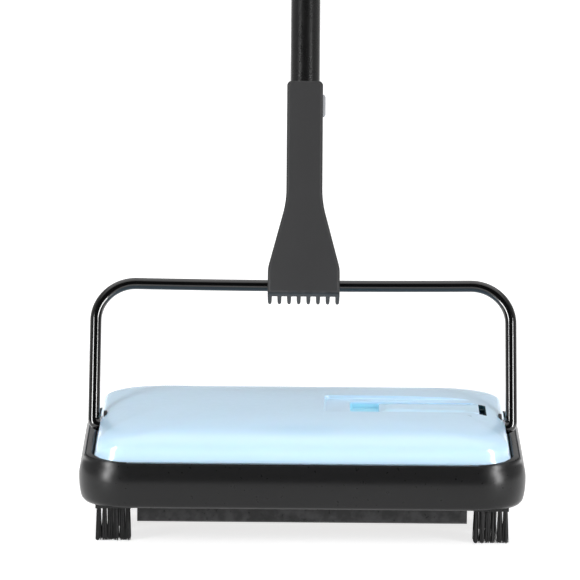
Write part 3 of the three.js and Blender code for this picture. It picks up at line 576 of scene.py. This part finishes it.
def cover_body(name, wall=0.0):
    """The cover's solid, or the hollow inside it when a wall is given."""
    flare = 1.7
    insets = [0, 0.08, 0.25, 0.5, 0.9, 1.4, 2, 2.8, 3.8, 5, 6.5, 8.3, 10.5, 13, 16, 19.5, 23.5, 28, 33,
              39, 46, 54, 63, 72, 81, 88, 91.6]
    skirt = [(-flare, COVER_SKIRT), (-flare, 54), (-flare * 0.93, 56), (-flare * 0.7, 57.3),
             (-flare * 0.3, 58.5)]
    levels = [(max(inset, 0) if wall else inset, z - (3 if wall else 0)) for inset, z in skirt[:1]]
    levels += [] if wall else skirt[1:]
    levels += [(inset, roof(inset) - wall) for inset in (insets[::2] if wall else insets)]
    rings = []
    for inset, z in levels:
        half_x, half_y = cover_width / 2 - inset - wall, cover_depth / 2 - max(inset, -0.3) - wall
        if half_y < 0.3:
            continue
        arc, straight = (8, 8) if wall else (14, 16)
        corner = min(20 - wall + 0.5 * max(inset, 0), half_y - 0.1)
        rings.append([(x, y, z) for x, y in rounded(half_x, half_y, corner, arc, straight)])
    return build(name, *loft(rings), BODY)


def well(name, shape, top, fillet=1.6, slope=0.0):
    """A cutter for a round-cornered well with a rounded foot and walls that lean out by the slope."""
    middle = (shape["start"] + shape["end"]) / 2
    half_x, half_y = (shape["end"] - shape["start"]) / 2, shape["half"]
    levels = [(-fillet + fillet * math.sin(a), shape["floor"] + fillet - fillet * math.cos(a))
              for a in [TURN / 4 * step / 5 for step in range(6)]]
    levels.append((slope, top))
    rings = []
    for grow, z in levels:
        outline = rounded(half_x + grow, half_y + grow, shape["corner"] + grow, 6, 18)
        rings.append([(x + middle, y, z) for x, y in outline])
    return build(name, *loft(rings), BODY)


def top_cover():
    """Thin pillow-shaped shell with the recess, the slider's pocket and the end notches."""
    obj = cover_body("cover_shell")
    hollow = cover_body("cover_hollow", 2.2)
    wall = 2
    tub_walls = [
        build("tub", *box((RECESS["start"] - wall, -RECESS["half"] - wall, RECESS["floor"] - wall),
                          (160, RECESS["half"] + wall, 90)), BODY),
        build("pocket_tub", *box((POCKET["start"] - wall, -POCKET["half"] - wall, POCKET["floor"] - 1.8),
                                 (POCKET["end"] + wall, POCKET["half"] + wall, 90)), BODY)]
    combine(hollow, tub_walls, "DIFFERENCE")
    recess = well("recess", RECESS, 95, slope=6)
    pocket = well("pocket", POCKET, RECESS["floor"] + 3, fillet=0.8)
    slot = build("slot", *box((SLOT["start"], -SLOT["half"], 60),
                              (SLOT["end"], SLOT["half"], RECESS["floor"])), BODY)
    stem = build("stem_slot", *box((STEM["slot_start"], -STEM["slot_half"], 60),
                                   (STEM["slot_end"], STEM["slot_half"], POCKET["floor"] + 1)), BODY)
    cutters = [hollow, recess, pocket, slot, stem]
    for _, end in ENDS:
        span = sorted((end * 132, end * 150))
        cutters.append(build("foot_hole", *turned(
            [(0.01, span[0]), (BUSH_RADIUS + 0.3, span[0]), (BUSH_RADIUS + 0.3, span[1]), (0.01, span[1])],
            40, at=(0, 0, BAIL["pivot"])), BODY))
    combine(obj, cutters, "DIFFERENCE")
    tidy(obj, 32)
    painted(obj, BLUE)
    soften(obj, 0.9, 4, 32)
    return finished(obj, "base", "cover_blue", "top_cover")


def release_slider():
    """Plate with a raised thumb ridge that falls away at both ends."""
    low, thick, half = PLATE["low"], PLATE["thick"], PLATE["half"]
    middle, half_x = (PLATE["start"] + PLATE["end"]) / 2, (PLATE["end"] - PLATE["start"]) / 2
    rings = []
    for grow, z in ((-0.4, low), (0, low + 0.4), (0, low + thick - 0.8), (-0.25, low + thick - 0.25),
                    (-0.8, low + thick)):
        rings.append([(x + middle, y, z) for x, y in rounded(half_x + grow, half + grow, 2.2, 6, 10)])
    for grow, rise in ((-3.2, 0.05), (-4.0, 0.3), (-5.2, 1.0), (-6.4, 1.35), (-9, 1.6), (-12, 1.7)):
        ring = []
        for x, y in rounded(half_x + grow - 2, half + grow, 4.5, 6, 10):
            tilt = 1 - 0.55 * (x + half_x) / (2 * half_x)
            ring.append((x + middle - 2, y, low + thick + rise * tilt))
        rings.append(ring)
    plate = build("release_plate", *loft(rings), BODY, SLIDER_BLUE, 30)
    stem = build("stem", *box((STEM["start"], -STEM["half"], 64), (STEM["end"], STEM["half"], low + 1)), BODY)
    combine(plate, [stem], "UNION")
    tidy(plate, 34)
    painted(plate, SLIDER_BLUE)
    return finished(plate, "slider", "slider_blue", "release_slider")


# ---- Bristles --------------------------------------------------------------------------------

def filament(root, tip, thickness, sides=3):
    """One tapered bristle."""
    root, tip = Vector(root), Vector(tip)
    way = (tip - root).normalized()
    side = way.orthogonal().normalized()
    other = way.cross(side)
    rings = []
    for place, width in ((root, thickness), (root.lerp(tip, 0.6), thickness * 0.95), (tip, thickness * 0.6)):
        rings.append([tuple(place + width / 2 * (math.cos(TURN * s / sides) * side
                            + math.sin(TURN * s / sides) * other)) for s in range(sides)])
    return loft(rings)


def corner_bristles(name, rng):
    """Round tufts in three rows. Each tuft is a bundle that spreads a little at the tips."""
    low, high = (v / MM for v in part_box(f"corner_bristles_{name}"))
    middle_y = BODY.translation.y / MM
    y0, y1 = low.y - middle_y, high.y - middle_y
    shapes = [box((low.x, y0, high.z - 2.2), (high.x, y1, high.z))]
    across, rows, hairs = 6, 3, 44
    for i in range(across):
        for row in range(rows):
            cx = low.x + (i + 0.5) * (high.x - low.x) / across
            cy = y0 + (row + 0.5) * (y1 - y0) / rows
            for _ in range(hairs):
                angle, out = rng.uniform(0, TURN), math.sqrt(rng.random())
                dx, dy = out * math.cos(angle), out * math.sin(angle)
                tip = (cx + dx * 2.1 + rng.gauss(0, 0.12), cy + dy * 2.2 + rng.gauss(0, 0.12),
                       abs(rng.gauss(0, 0.35)))
                shapes.append(filament((cx + dx * 1.25, cy + dy * 1.25, high.z - 2), tip, 0.42))
    obj = build(f"corner_tufts_{name}", *merged(*shapes), BODY, NYLON, 60)
    return finished(obj, "base", "bristle_black", f"corner_bristles_{name}")


def roller_strip(number, rng):
    """A spiral row of tufts on the roller's core."""
    turn = (number - 1) * TURN / 4
    reach = ROLLER["half"] - 5
    tufts, hairs = 46, 14
    shapes = []
    for tuft in range(tufts):
        share = tuft / (tufts - 1)
        x = (share * 2 - 1) * reach
        middle = turn + (share - 0.5) * ROLLER["twist"] + TURN / 4
        for _ in range(hairs):
            spread = rng.uniform(-1, 1)
            shift = rng.uniform(-1.6, 1.6)
            root_angle, tip_angle = middle + spread * 0.12, middle + spread * 0.14 + rng.gauss(0, 0.01)
            tip_radius = ROLLER["tip"] - abs(rng.gauss(0, 0.4))
            ends = []
            for angle, radius, place in ((root_angle, ROLLER["core"] - 0.4, x + shift * 0.7),
                                         (tip_angle, tip_radius, x + shift * 1.25)):
                ends.append((place, -radius * math.cos(angle), ROLLER["axis"] + radius * math.sin(angle)))
            shapes.append(filament(*ends, 0.45))
    obj = build(f"roller_tufts_{number}", *merged(*shapes), BODY, NYLON, 60)
    return finished(obj, "roller", "bristle_black", f"bristle_strip_{number}")


# ---- Rolling parts ---------------------------------------------------------------------------

def centre(node):
    """A CAD node's middle, in the body's millimetres."""
    low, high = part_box(node)
    return BODY.inverted() @ ((low + high) / 2)


def tyre(name):
    at = centre(f"tyre_{name}")
    inner, outer, half = WHEEL["radius"] - WHEEL["tyre"], WHEEL["radius"], WHEEL["width"] / 2
    profile = [(inner, -half), (outer - 1.2, -half), (outer - 0.35, -half + 0.35), (outer, -half + 1.2)]
    grooves = 4
    for groove in range(grooves):
        x = -half + 2.4 + groove * (2 * half - 4.8) / (grooves - 1)
        profile += [(outer, x - 0.5), (outer - 0.7, x - 0.3), (outer - 0.7, x + 0.3), (outer, x + 0.5)]
    profile += [(outer, half - 1.2), (outer - 0.35, half - 0.35), (outer - 1.2, half), (inner, half)]
    obj = build(f"tyre_tread_{name}", *turned(profile, 72, at=at), BODY, RUBBER)
    return finished(obj, f"wheel_{name}", "rubber_black", f"tyre_{name}")


def hub(name):
    """Dished hub with five round windows between its spokes."""
    at = centre(f"wheel_hub_{name}")
    half, bore, rim = WHEEL["width"] / 2, WHEEL["bore"], WHEEL["radius"] - WHEEL["tyre"] - 0.3
    profile = [(bore, -half + 0.3), (5.6, -half + 0.3), (6, -half + 0.7), (6.6, -2.2), (7.6, -1.6),
               (rim - 4, -1.6), (rim - 3, -2.2), (rim - 2, -half + 0.9), (rim - 1.4, -half + 0.6),
               (rim, -half + 0.6), (rim, half - 0.6), (rim - 1.4, half - 0.6), (rim - 2, half - 0.9),
               (rim - 3, 2.2), (rim - 4, 1.6), (7.6, 1.6), (6.6, 2.2), (6, half - 0.7),
               (5.6, half - 0.3), (bore, half - 0.3)]
    obj = build(f"hub_{name}", *turned(profile, 64, at=at), BODY, GREY)
    windows, spokes, ring, window = [], 5, 10.9, 2.6
    for spoke in range(spokes):
        angle = TURN * spoke / spokes
        place = (at[0], at[1] + ring * math.cos(angle), at[2] + ring * math.sin(angle))
        cutter = [(0.01, -5), (window, -5), (window, 5), (0.01, 5)]
        windows.append(build("window", *turned(cutter, 24, at=place), BODY))
    combine(obj, windows, "DIFFERENCE")
    tidy(obj, 30)
    painted(obj, GREY)
    return finished(obj, f"wheel_{name}", "inner_grey", f"wheel_hub_{name}")


def ribbed_drum(end_name):
    """Rubber drum with fine grip ribs along it."""
    node = f"friction_drum_{end_name}"
    at = centre(node)
    ribs, half, bore, edge, outer = (DRUM[size] for size in ("ribs", "half", "bore", "edge", "radius"))
    rings = []
    for place, depth, radius in ((-half, 0, bore), (-half, 0, edge), (-half + 0.6, 1, outer),
                                 (half - 0.6, 1, outer), (half, 0, edge), (half, 0, bore)):
        ring = []
        for step in range(ribs * 4):
            notch = 0.45 * depth * (step % 4 in (0, 1))
            angle = TURN * step / (ribs * 4)
            ring.append((at[0] + place, at[1] + (radius - notch) * math.cos(angle),
                         at[2] + (radius - notch) * math.sin(angle)))
        rings.append(ring)
    obj = build(f"drum_{end_name}", *loft(rings, closed=True), BODY, RUBBER, 30)
    return finished(obj, "roller", "rubber_black", node)


def plain_turned(kind, end_name, body, slot, finish, steps):
    """A plain pin, tube or bush. end_name tells several of a kind apart."""
    node = "_".join(word for word in (kind, end_name) if word)
    obj = build(f"{node}_turned", *turned(tube_ring(*TURNED[kind]), steps, at=centre(node)), BODY, finish)
    return finished(obj, body, slot, node)


# ---- Handle ----------------------------------------------------------------------------------

def bail_line():
    """The bail's centre line, foot to foot."""
    half, height, corner, foot = BAIL["half"], BAIL["height"], BAIL["corner"], BAIL["foot"]
    sag = 0.8

    def arc(cx, cz, radius, start, stop, steps):
        return [(cx + radius * math.cos(math.radians(start + (stop - start) * s / steps)), 0,
                 cz + radius * math.sin(math.radians(start + (stop - start) * s / steps)))
                for s in range(steps + 1)]

    left = [(-BAIL["end"], 0, 0)] + arc(-half + foot, foot, foot, 270, 180, 10)
    left += [(-half, 0, z) for z in (20, 40, 60)]
    left += arc(-half + corner, height - corner, corner, 180, 90, 20)
    bar = [(x, 0, height - sag * (1 - (x / (half - corner)) ** 2))
           for x in [(-1 + s / 8) * (half - corner) for s in range(1, 16)]]
    right = [(-x, y, z) for x, y, z in reversed(left)]
    return left + bar + right


def bail():
    obj = build("bail_wire", *swept(bail_line(), BAIL["radius"] + 0.15, 28), HANDLE, WIRE_BLACK, 60)
    spigot = POLE["radius"] - POLE["wall"] - 0.3
    base = BAIL["height"]
    profile = [(0.01, base - 1), (spigot - 1.5, base - 1), (spigot, base + 3), (spigot, base + 41),
               (spigot - 1, base + 42), (0.01, base + 42)]
    stub = build("spigot", *turned(profile, 40, "Z"), HANDLE)
    combine(obj, [stub], "UNION")
    tidy(obj, 40)
    painted(obj, WIRE_BLACK)
    return finished(obj, "handle", "bail_black", "bail")


def pole_sections():
    start = POLE["start"]
    names = ("pole_lower", "pole_middle", "pole_upper")
    outer, inner = POLE["radius"], POLE["radius"] - POLE["wall"]
    for order, (name, length) in enumerate(zip(names, POLE["sections"])):
        top = start + length
        neck = inner - POLE["gap"]
        profile = [(inner, start), (outer - 0.25, start), (outer, start + 0.4)]
        steps = 14
        profile += [(outer, start + 0.4 + (length - 3) * s / steps) for s in range(1, steps + 1)]
        if order < 2:
            profile += [(outer - 0.1, top - 1.4), (neck, top), (neck, top + 28), (neck - 0.5, top + 28),
                        (neck - 0.5, top), (inner, top - 2.5)]
        else:
            profile += [(outer, top - 0.3), (outer - 0.2, top), (inner, top)]
        obj = build(f"{name}_tube", *turned(profile, 56, "Z"), HANDLE, TUBE_BLACK, 30)
        finished(obj, "handle", "pole_black", name)
        start = top + POLE["gap"]
    return start


def grip(top):
    """Sleeve with rounded finger ribs between two plain bands."""
    low = top - 118
    bore, outer = POLE["radius"] + 0.3, GRIP_RADIUS
    profile = [(bore, low), (outer - 1.2, low), (outer - 0.4, low + 0.8), (outer, low + 2.4)]
    ribs = 15
    for rib in range(ribs):
        z = low + 14 + rib * 6
        for s in range(7):
            dip = 0.55 * (1 - math.cos(TURN * s / 6)) / 2
            profile.append((outer - 0.1 - dip, z - 3 + s))
    profile += [(outer, top - 6), (outer, top - 2.4), (outer - 0.5, top - 0.5), (outer - 1.1, top),
                (bore, top)]
    obj = build("grip_sleeve", *turned(profile, 56, "Z"), HANDLE, GRIP_BLACK, 50)
    return finished(obj, "handle", "grip_black", "grip")


def grip_cap(top):
    """Domed cap with a flat tab and a round hanging hole."""
    z0, plug = top + 0.3, POLE["radius"] - POLE["wall"] - 0.3
    profile = [(0.01, top - 14), (plug - 0.6, top - 14), (plug, top - 13.2), (plug, z0)]
    profile += [(GRIP_RADIUS - inset, z0 + rise) for inset, rise in
                ((0.5, 0), (0, 0.5), (0, 3), (0.4, 4.6), (1.6, 6.2), (3.6, 7.4), (7, 8))]
    profile.append((0.01, z0 + 8))
    obj = build("cap", *turned(profile, 48, "Z"), HANDLE, BLACK)
    tab_half, middle = 9.5, top + 13
    outline = [(-tab_half, z0 + 3), (tab_half, z0 + 3)]
    outline += [(tab_half * math.cos(a), middle + tab_half * math.sin(a))
                for a in [math.pi * s / 24 for s in range(25)]]
    rings = []
    for y, inset in ((-3, 0.9), (-2.7, 0.35), (-2, 0), (2, 0), (2.7, 0.35), (3, 0.9)):
        rings.append([(x * (1 - inset / tab_half), y, middle + (z - middle) * (1 - inset / tab_half))
                      for x, z in outline])
    tab = build("tab", *loft(rings), HANDLE)
    hole = build("hole", *turned([(0.01, -5), (5, -5), (5, 5), (0.01, 5)], 36, "Y", (0, 0, middle + 1)),
                 HANDLE)
    combine(obj, [tab], "UNION")
    combine(obj, [hole], "DIFFERENCE")
    tidy(obj, 34)
    painted(obj, BLACK)
    soften(obj, 0.35, 2)
    return finished(obj, "handle", "base_black", "grip_cap")


# ---- Comb ------------------------------------------------------------------------------------

def blend(start, control, end, steps=6):
    """Points of a smooth bend after its start."""
    points = []
    for step in range(1, steps + 1):
        t = step / steps
        points.append(tuple((1 - t) ** 2 * a + 2 * t * (1 - t) * b + t * t * c
                            for a, b, c in zip(start, control, end)))
    return points


def comb_outline(inset, low_extra=0.0):
    """The comb's face: a broad foot, a straight flare and a slim neck. Anticlockwise."""
    low, high = COMB["low"] + inset - low_extra, COMB["low"] + COMB["length"] - inset
    neck = COMB["low"] + COMB["length"] - COMB["neck"]
    wide = neck - COMB["flare"]
    narrow, broad = COMB["top_half"] - inset, COMB["half"] - inset
    slope = (broad - narrow) / COMB["flare"]
    foot_bend, neck_bend = 3, 9
    right = [(broad, low), (broad, low + 8), (broad, wide - foot_bend)]
    right += blend(right[-1], (broad, wide), (broad - foot_bend * slope, wide + foot_bend))
    right += [(narrow + (neck_bend + (COMB["flare"] - foot_bend - neck_bend) * (1 - share)) * slope,
               wide + foot_bend + (COMB["flare"] - foot_bend - neck_bend) * share)
              for share in (0.25, 0.5, 0.75, 1)]
    right += blend(right[-1], (narrow, neck), (narrow, neck + neck_bend))
    right += [(narrow, neck + 40), (narrow, high - 14)]
    radius = 3.2 - inset * 0.6
    right += [(narrow - radius + radius * math.cos(a), high - radius + radius * math.sin(a))
              for a in [TURN / 4 * s / 6 for s in range(7)]]
    left = [(-x, z) for x, z in reversed(right)]
    return right + left


def comb_skin(name, levels, low_extra=0.0):
    rings = [[(x, y, z) for x, z in comb_outline(inset, low_extra)] for y, inset in levels]
    return build(name, *loft(rings), HANDLE)


def comb():
    """Open-backed clip-on comb: rounded face, thin side walls, lip and eight curved teeth."""
    front, back, wall = COMB["front"], COMB["back"], COMB["wall"]
    roll = 2.2
    curve = [(front + roll - roll * math.cos(a), roll - roll * math.sin(a))
             for a in [TURN / 4 * s / 5 for s in range(6)]]
    obj = comb_skin("comb_shell", curve + [(0, 0), (back - 0.4, 0), (back, 0.3)])
    hollow = comb_skin("comb_hollow", [(front + wall, wall + 0.8), (front + wall + 0.6, wall + 0.2),
                                       (front + wall + 1.6, wall), (back + 2, wall)])
    high, low, half = COMB["low"] + COMB["length"], COMB["low"], COMB["half"]
    bar, notch = BAIL["height"], BAIL["radius"] + 0.6
    way = POLE["radius"] + 0.35
    cutters = [
        hollow,
        build("pole_way", *turned([(0.01, high - 30), (way, high - 30), (way, high + 9), (0.01, high + 9)],
                                  40, "Z"), HANDLE),
        build("back_way", *box((-way, 0, high - 30), (way, back + 2, high + 9)), HANDLE),
        build("bar_way", *turned([(0.01, -half - 2), (notch, -half - 2), (notch, half + 2), (0.01, half + 2)],
                                 32, at=(0, 0, bar)), HANDLE),
        build("bar_back", *box((-half - 2, 0, bar - notch), (half + 2, back + 2, bar + notch)), HANDLE),
        build("tooth_way", *box((-half - 2, front + COMB["lip"], low - 3),
                                (half + 2, back + 2, bar - notch + 0.1)), HANDLE),
        build("button_window", *box((9, BUTTON["back"] - 2.8, BUTTON["middle"] - 8.3),
                                    (14.5, BUTTON["back"] + 2.8, BUTTON["middle"] + 8.3)), HANDLE),
    ]
    combine(obj, cutters, "DIFFERENCE")

    lip_rings = []
    for x in (-half + 0.3, -half + 0.9, half - 0.9, half - 0.3):
        edge = 0.3 if abs(x) > half - 0.5 else 0
        profile = [(front + 2.4, low + edge), (front + COMB["lip"], low + edge),
                   (front + COMB["lip"], low + wall - edge), (front + 1.2, low + wall - edge),
                   (front + 0.9, low + 1.6)]
        lip_rings.append([(x, y, z) for y, z in profile])
    adds = [build("lip", *loft(lip_rings), HANDLE)]
    width = COMB["tooth_width"]
    pitch = (2 * half - width) / (COMB["teeth"] - 1)
    for tooth in range(COMB["teeth"]):
        middle = -half + width / 2 + tooth * pitch
        rings = []
        length = COMB["tooth"]
        for share, narrow in ((-0.06, 0), (0.3, 0.05), (0.6, 0.12), (0.85, 0.3), (0.95, 0.6), (1.0, 1.0)):
            y = front + COMB["lip"] + share * length
            half_w, thick = width / 2 - narrow, wall / 2 - 0.1 - narrow * 0.35
            mid_z = low + wall / 2 - 0.25 * share
            rings.append([(middle + half_w * c, y, mid_z + thick * s) for c, s in (
                (-1, -0.6), (-0.7, -1), (0.7, -1), (1, -0.6), (1, 0.6), (0.7, 1), (-0.7, 1), (-1, 0.6))])
        adds.append(build("tooth", *loft(rings), HANDLE))
    combine(obj, adds, "UNION")
    tidy(obj, 34)
    painted(obj, COMB_GREY)
    soften(obj, 0.25, 2, 45)
    return finished(obj, "comb", "comb_grey", "comb")


def comb_button():
    """Oval push button with a rounded crown, let into the comb's side."""
    foot = COMB["top_half"] - COMB["wall"] + 0.2
    rings = []
    for rise, grow in ((0, 0), (1.6, 0), (2.6, -0.35), (3.2, -1.0), (3.5, -1.8)):
        outline = rounded(2.5 + grow * 0.6, 8 + grow, 1.2, 5, 4)
        rings.append([(foot + rise, y + BUTTON["back"], z + BUTTON["middle"]) for y, z in outline])
    obj = build("push_button", *loft(rings), HANDLE, GREY, 40)
    return finished(obj, "comb_button", "inner_grey", "comb_button")


# ---- Pieces kept from the CAD, with finer edges and their finishes ---------------------------

def kept():
    finishes = {
        "dust_pan_front": (BLACK, 0.5), "dust_pan_rear": (BLACK, 0.5), "release_bar": (GREY, 0.4),
        "pole_rivet": (STEEL, 0.2),
    }
    for name in CORNERS:
        finishes[f"corner_brush_holder_{name}"] = (BLACK, 0.6)
        finishes[f"cover_screw_{name}"] = (STEEL, 0.15)
    for node, (finish, edge) in finishes.items():
        soften(painted(frame["nodes"][node], finish), edge, 3, 30)


def torsion_spring(side_name):
    """Close-wound spring round the pan's hinge rod."""
    node = f"pan_spring_{side_name}"
    low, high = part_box(node)
    at = centre(node)
    axis_z = joints[f"pan_{side_name}_hinge"]["pos_m"][2] / MM
    length = (high.x - low.x) / MM
    wire, turns = 0.7, 3
    radius = 2.8
    points = []
    steps = turns * 24
    for step in range(steps + 1):
        angle = TURN * turns * step / steps
        x = at[0] - (length / 2 - wire) + (length - 2 * wire) * step / steps
        points.append(Vector((x, at[1] + radius * math.cos(angle), axis_z + radius * math.sin(angle))))
    rings = []
    sides = 10
    for i, point in enumerate(points):
        way = (points[min(i + 1, steps)] - points[max(i - 1, 0)]).normalized()
        across = way.cross(Vector((1, 0, 0))).normalized()
        other = way.cross(across)
        rings.append([tuple(point + wire * (math.cos(TURN * s / sides) * across
                            + math.sin(TURN * s / sides) * other)) for s in range(sides)])
    obj = build(f"{node}_coil", *loft(rings), BODY, STEEL, 60)
    return finished(obj, f"pan_{side_name}", "steel", node)


# ---- Make the pieces -------------------------------------------------------------------------

rng = random.Random(7)

base_shell()
base_inside()
top_cover()
release_slider()
bail()
pole_end = pole_sections() - POLE["gap"]
grip(pole_end)
grip_cap(pole_end)
comb()
comb_button()
kept()

for number in range(1, 5):
    roller_strip(number, rng)
plain_turned("roller_core", "", "roller", "roller_wood", WOOD, 48)
plain_turned("roller_axle", "", "roller", "steel", STEEL, 32)
for side_name in SIDES:
    plain_turned("pan_rod", side_name, "base", "steel", STEEL, 24)
    torsion_spring(side_name)
for end_name, _ in ENDS:
    ribbed_drum(end_name)
    plain_turned("roller_bush", end_name, "base", "inner_grey", GREY, 40)
    plain_turned("bail_bush", end_name, "base", "inner_grey", GREY, 40)
    plain_turned("bail_clip", end_name, "handle", "steel", STEEL, 40)
for corner_name in CORNERS:
    tyre(corner_name)
    hub(corner_name)
    corner_bristles(corner_name, rng)
    plain_turned("wheel_axle", corner_name, "base", "steel", STEEL, 28)


# ---- Stage: pale floor, soft light, camera ---------------------------------------------------

def floor():
    finish = Finish("pale_floor", (0.5, 0.5, 0.5), Roughness=0.8, Emission_Color=(1, 1, 1, 1),
                    Emission_Strength=0.75)
    finish.tint(finish.noise(3, 2).between(0.3, 0.8) * 0.3, (0.92, 0.92, 0.925))
    size = 14000
    verts = [(-size, -size, 0), (size, -size, 0), (size, size, 0), (-size, size, 0)]
    build("floor", verts, [(0, 1, 2, 3)], BODY, finish.material)


def area_light(name, at, aim, size, power):
    data = bpy.data.lights.new(name, "AREA")
    data.shape = "RECTANGLE"
    data.size, data.size_y = size
    data.energy = power
    obj = bpy.data.objects.new(name, data)
    bpy.context.scene.collection.objects.link(obj)
    obj.location = at
    obj.rotation_euler = (Vector(aim) - Vector(at)).to_track_quat("-Z", "Y").to_euler()
    return obj


def studio():
    """A soft top light, unseen fills, two strips seen only in the gloss, and a darker surround in front."""
    y = BODY.translation.y
    aim = (0, y, 0.08)
    area_light("top_soft", (0, y + 0.6, 3.0), (0, y + 0.4, 0), (3.6, 3.6), 42)
    unseen = (("front_high", (0, y - 1.9, 2.3), aim, (3.0, 0.8), 2),
              ("left_fill", (-1.56, y - 1.14, 0.75), aim, (0.4, 1.6), 23),
              ("right_fill", (1.56, y - 1.14, 0.75), aim, (0.4, 1.6), 23),
              ("back_floor", (0, y + 3.0, 2.6), (0, y + 3.0, 0), (5.0, 2.4), 30))
    for light in unseen:
        area_light(*light).visible_glossy = False
    for name, x in (("left_strip", -1.5), ("right_strip", 1.5)):
        area_light(name, (x, y - 1.1, 0.75), aim, (0.4, 1.6), 50).visible_diffuse = False
    world = bpy.data.worlds.new("pale_surround")
    world.use_nodes = True
    tree = world.node_tree
    background = next(n for n in tree.nodes if n.type == "BACKGROUND")
    background.inputs["Strength"].default_value = 0.5
    way = tree.nodes.new("ShaderNodeTexCoord")
    split = tree.nodes.new("ShaderNodeSeparateXYZ")
    ramp = tree.nodes.new("ShaderNodeMapRange")
    ramp.interpolation_type = "SMOOTHSTEP"
    for socket, value in (("From Min", -0.7), ("From Max", 0.4), ("To Min", 0.04), ("To Max", 1)):
        ramp.inputs[socket].default_value = value
    tree.links.new(way.outputs["Generated"], split.inputs[0])
    tree.links.new(split.outputs["Y"], ramp.inputs["Value"])
    tree.links.new(ramp.outputs[0], background.inputs["Color"])
    bpy.context.scene.world = world
    bpy.context.scene.view_settings.view_transform = "Standard"


def camera():
    """A long lens from the front, a little above, as a catalogue shows it."""
    elevation, roll, distance = math.radians(10.5), math.radians(0.48), 4.05
    aim = BODY @ Vector((-9.3, 0, 156.2))
    back = Vector((0, -math.cos(elevation), math.sin(elevation)))
    data = bpy.data.cameras.new("camera")
    data.lens = 372.2
    data.sensor_width = 36
    data.clip_end = 60
    obj = bpy.data.objects.new("camera", data)
    bpy.context.scene.collection.objects.link(obj)
    obj.location = aim + back * distance
    turn = (-back).to_track_quat("-Z", "Y").to_matrix() @ Matrix.Rotation(roll, 3, "Z")
    obj.rotation_euler = turn.to_euler()
    bpy.context.scene.camera = obj


floor()
studio()
camera()
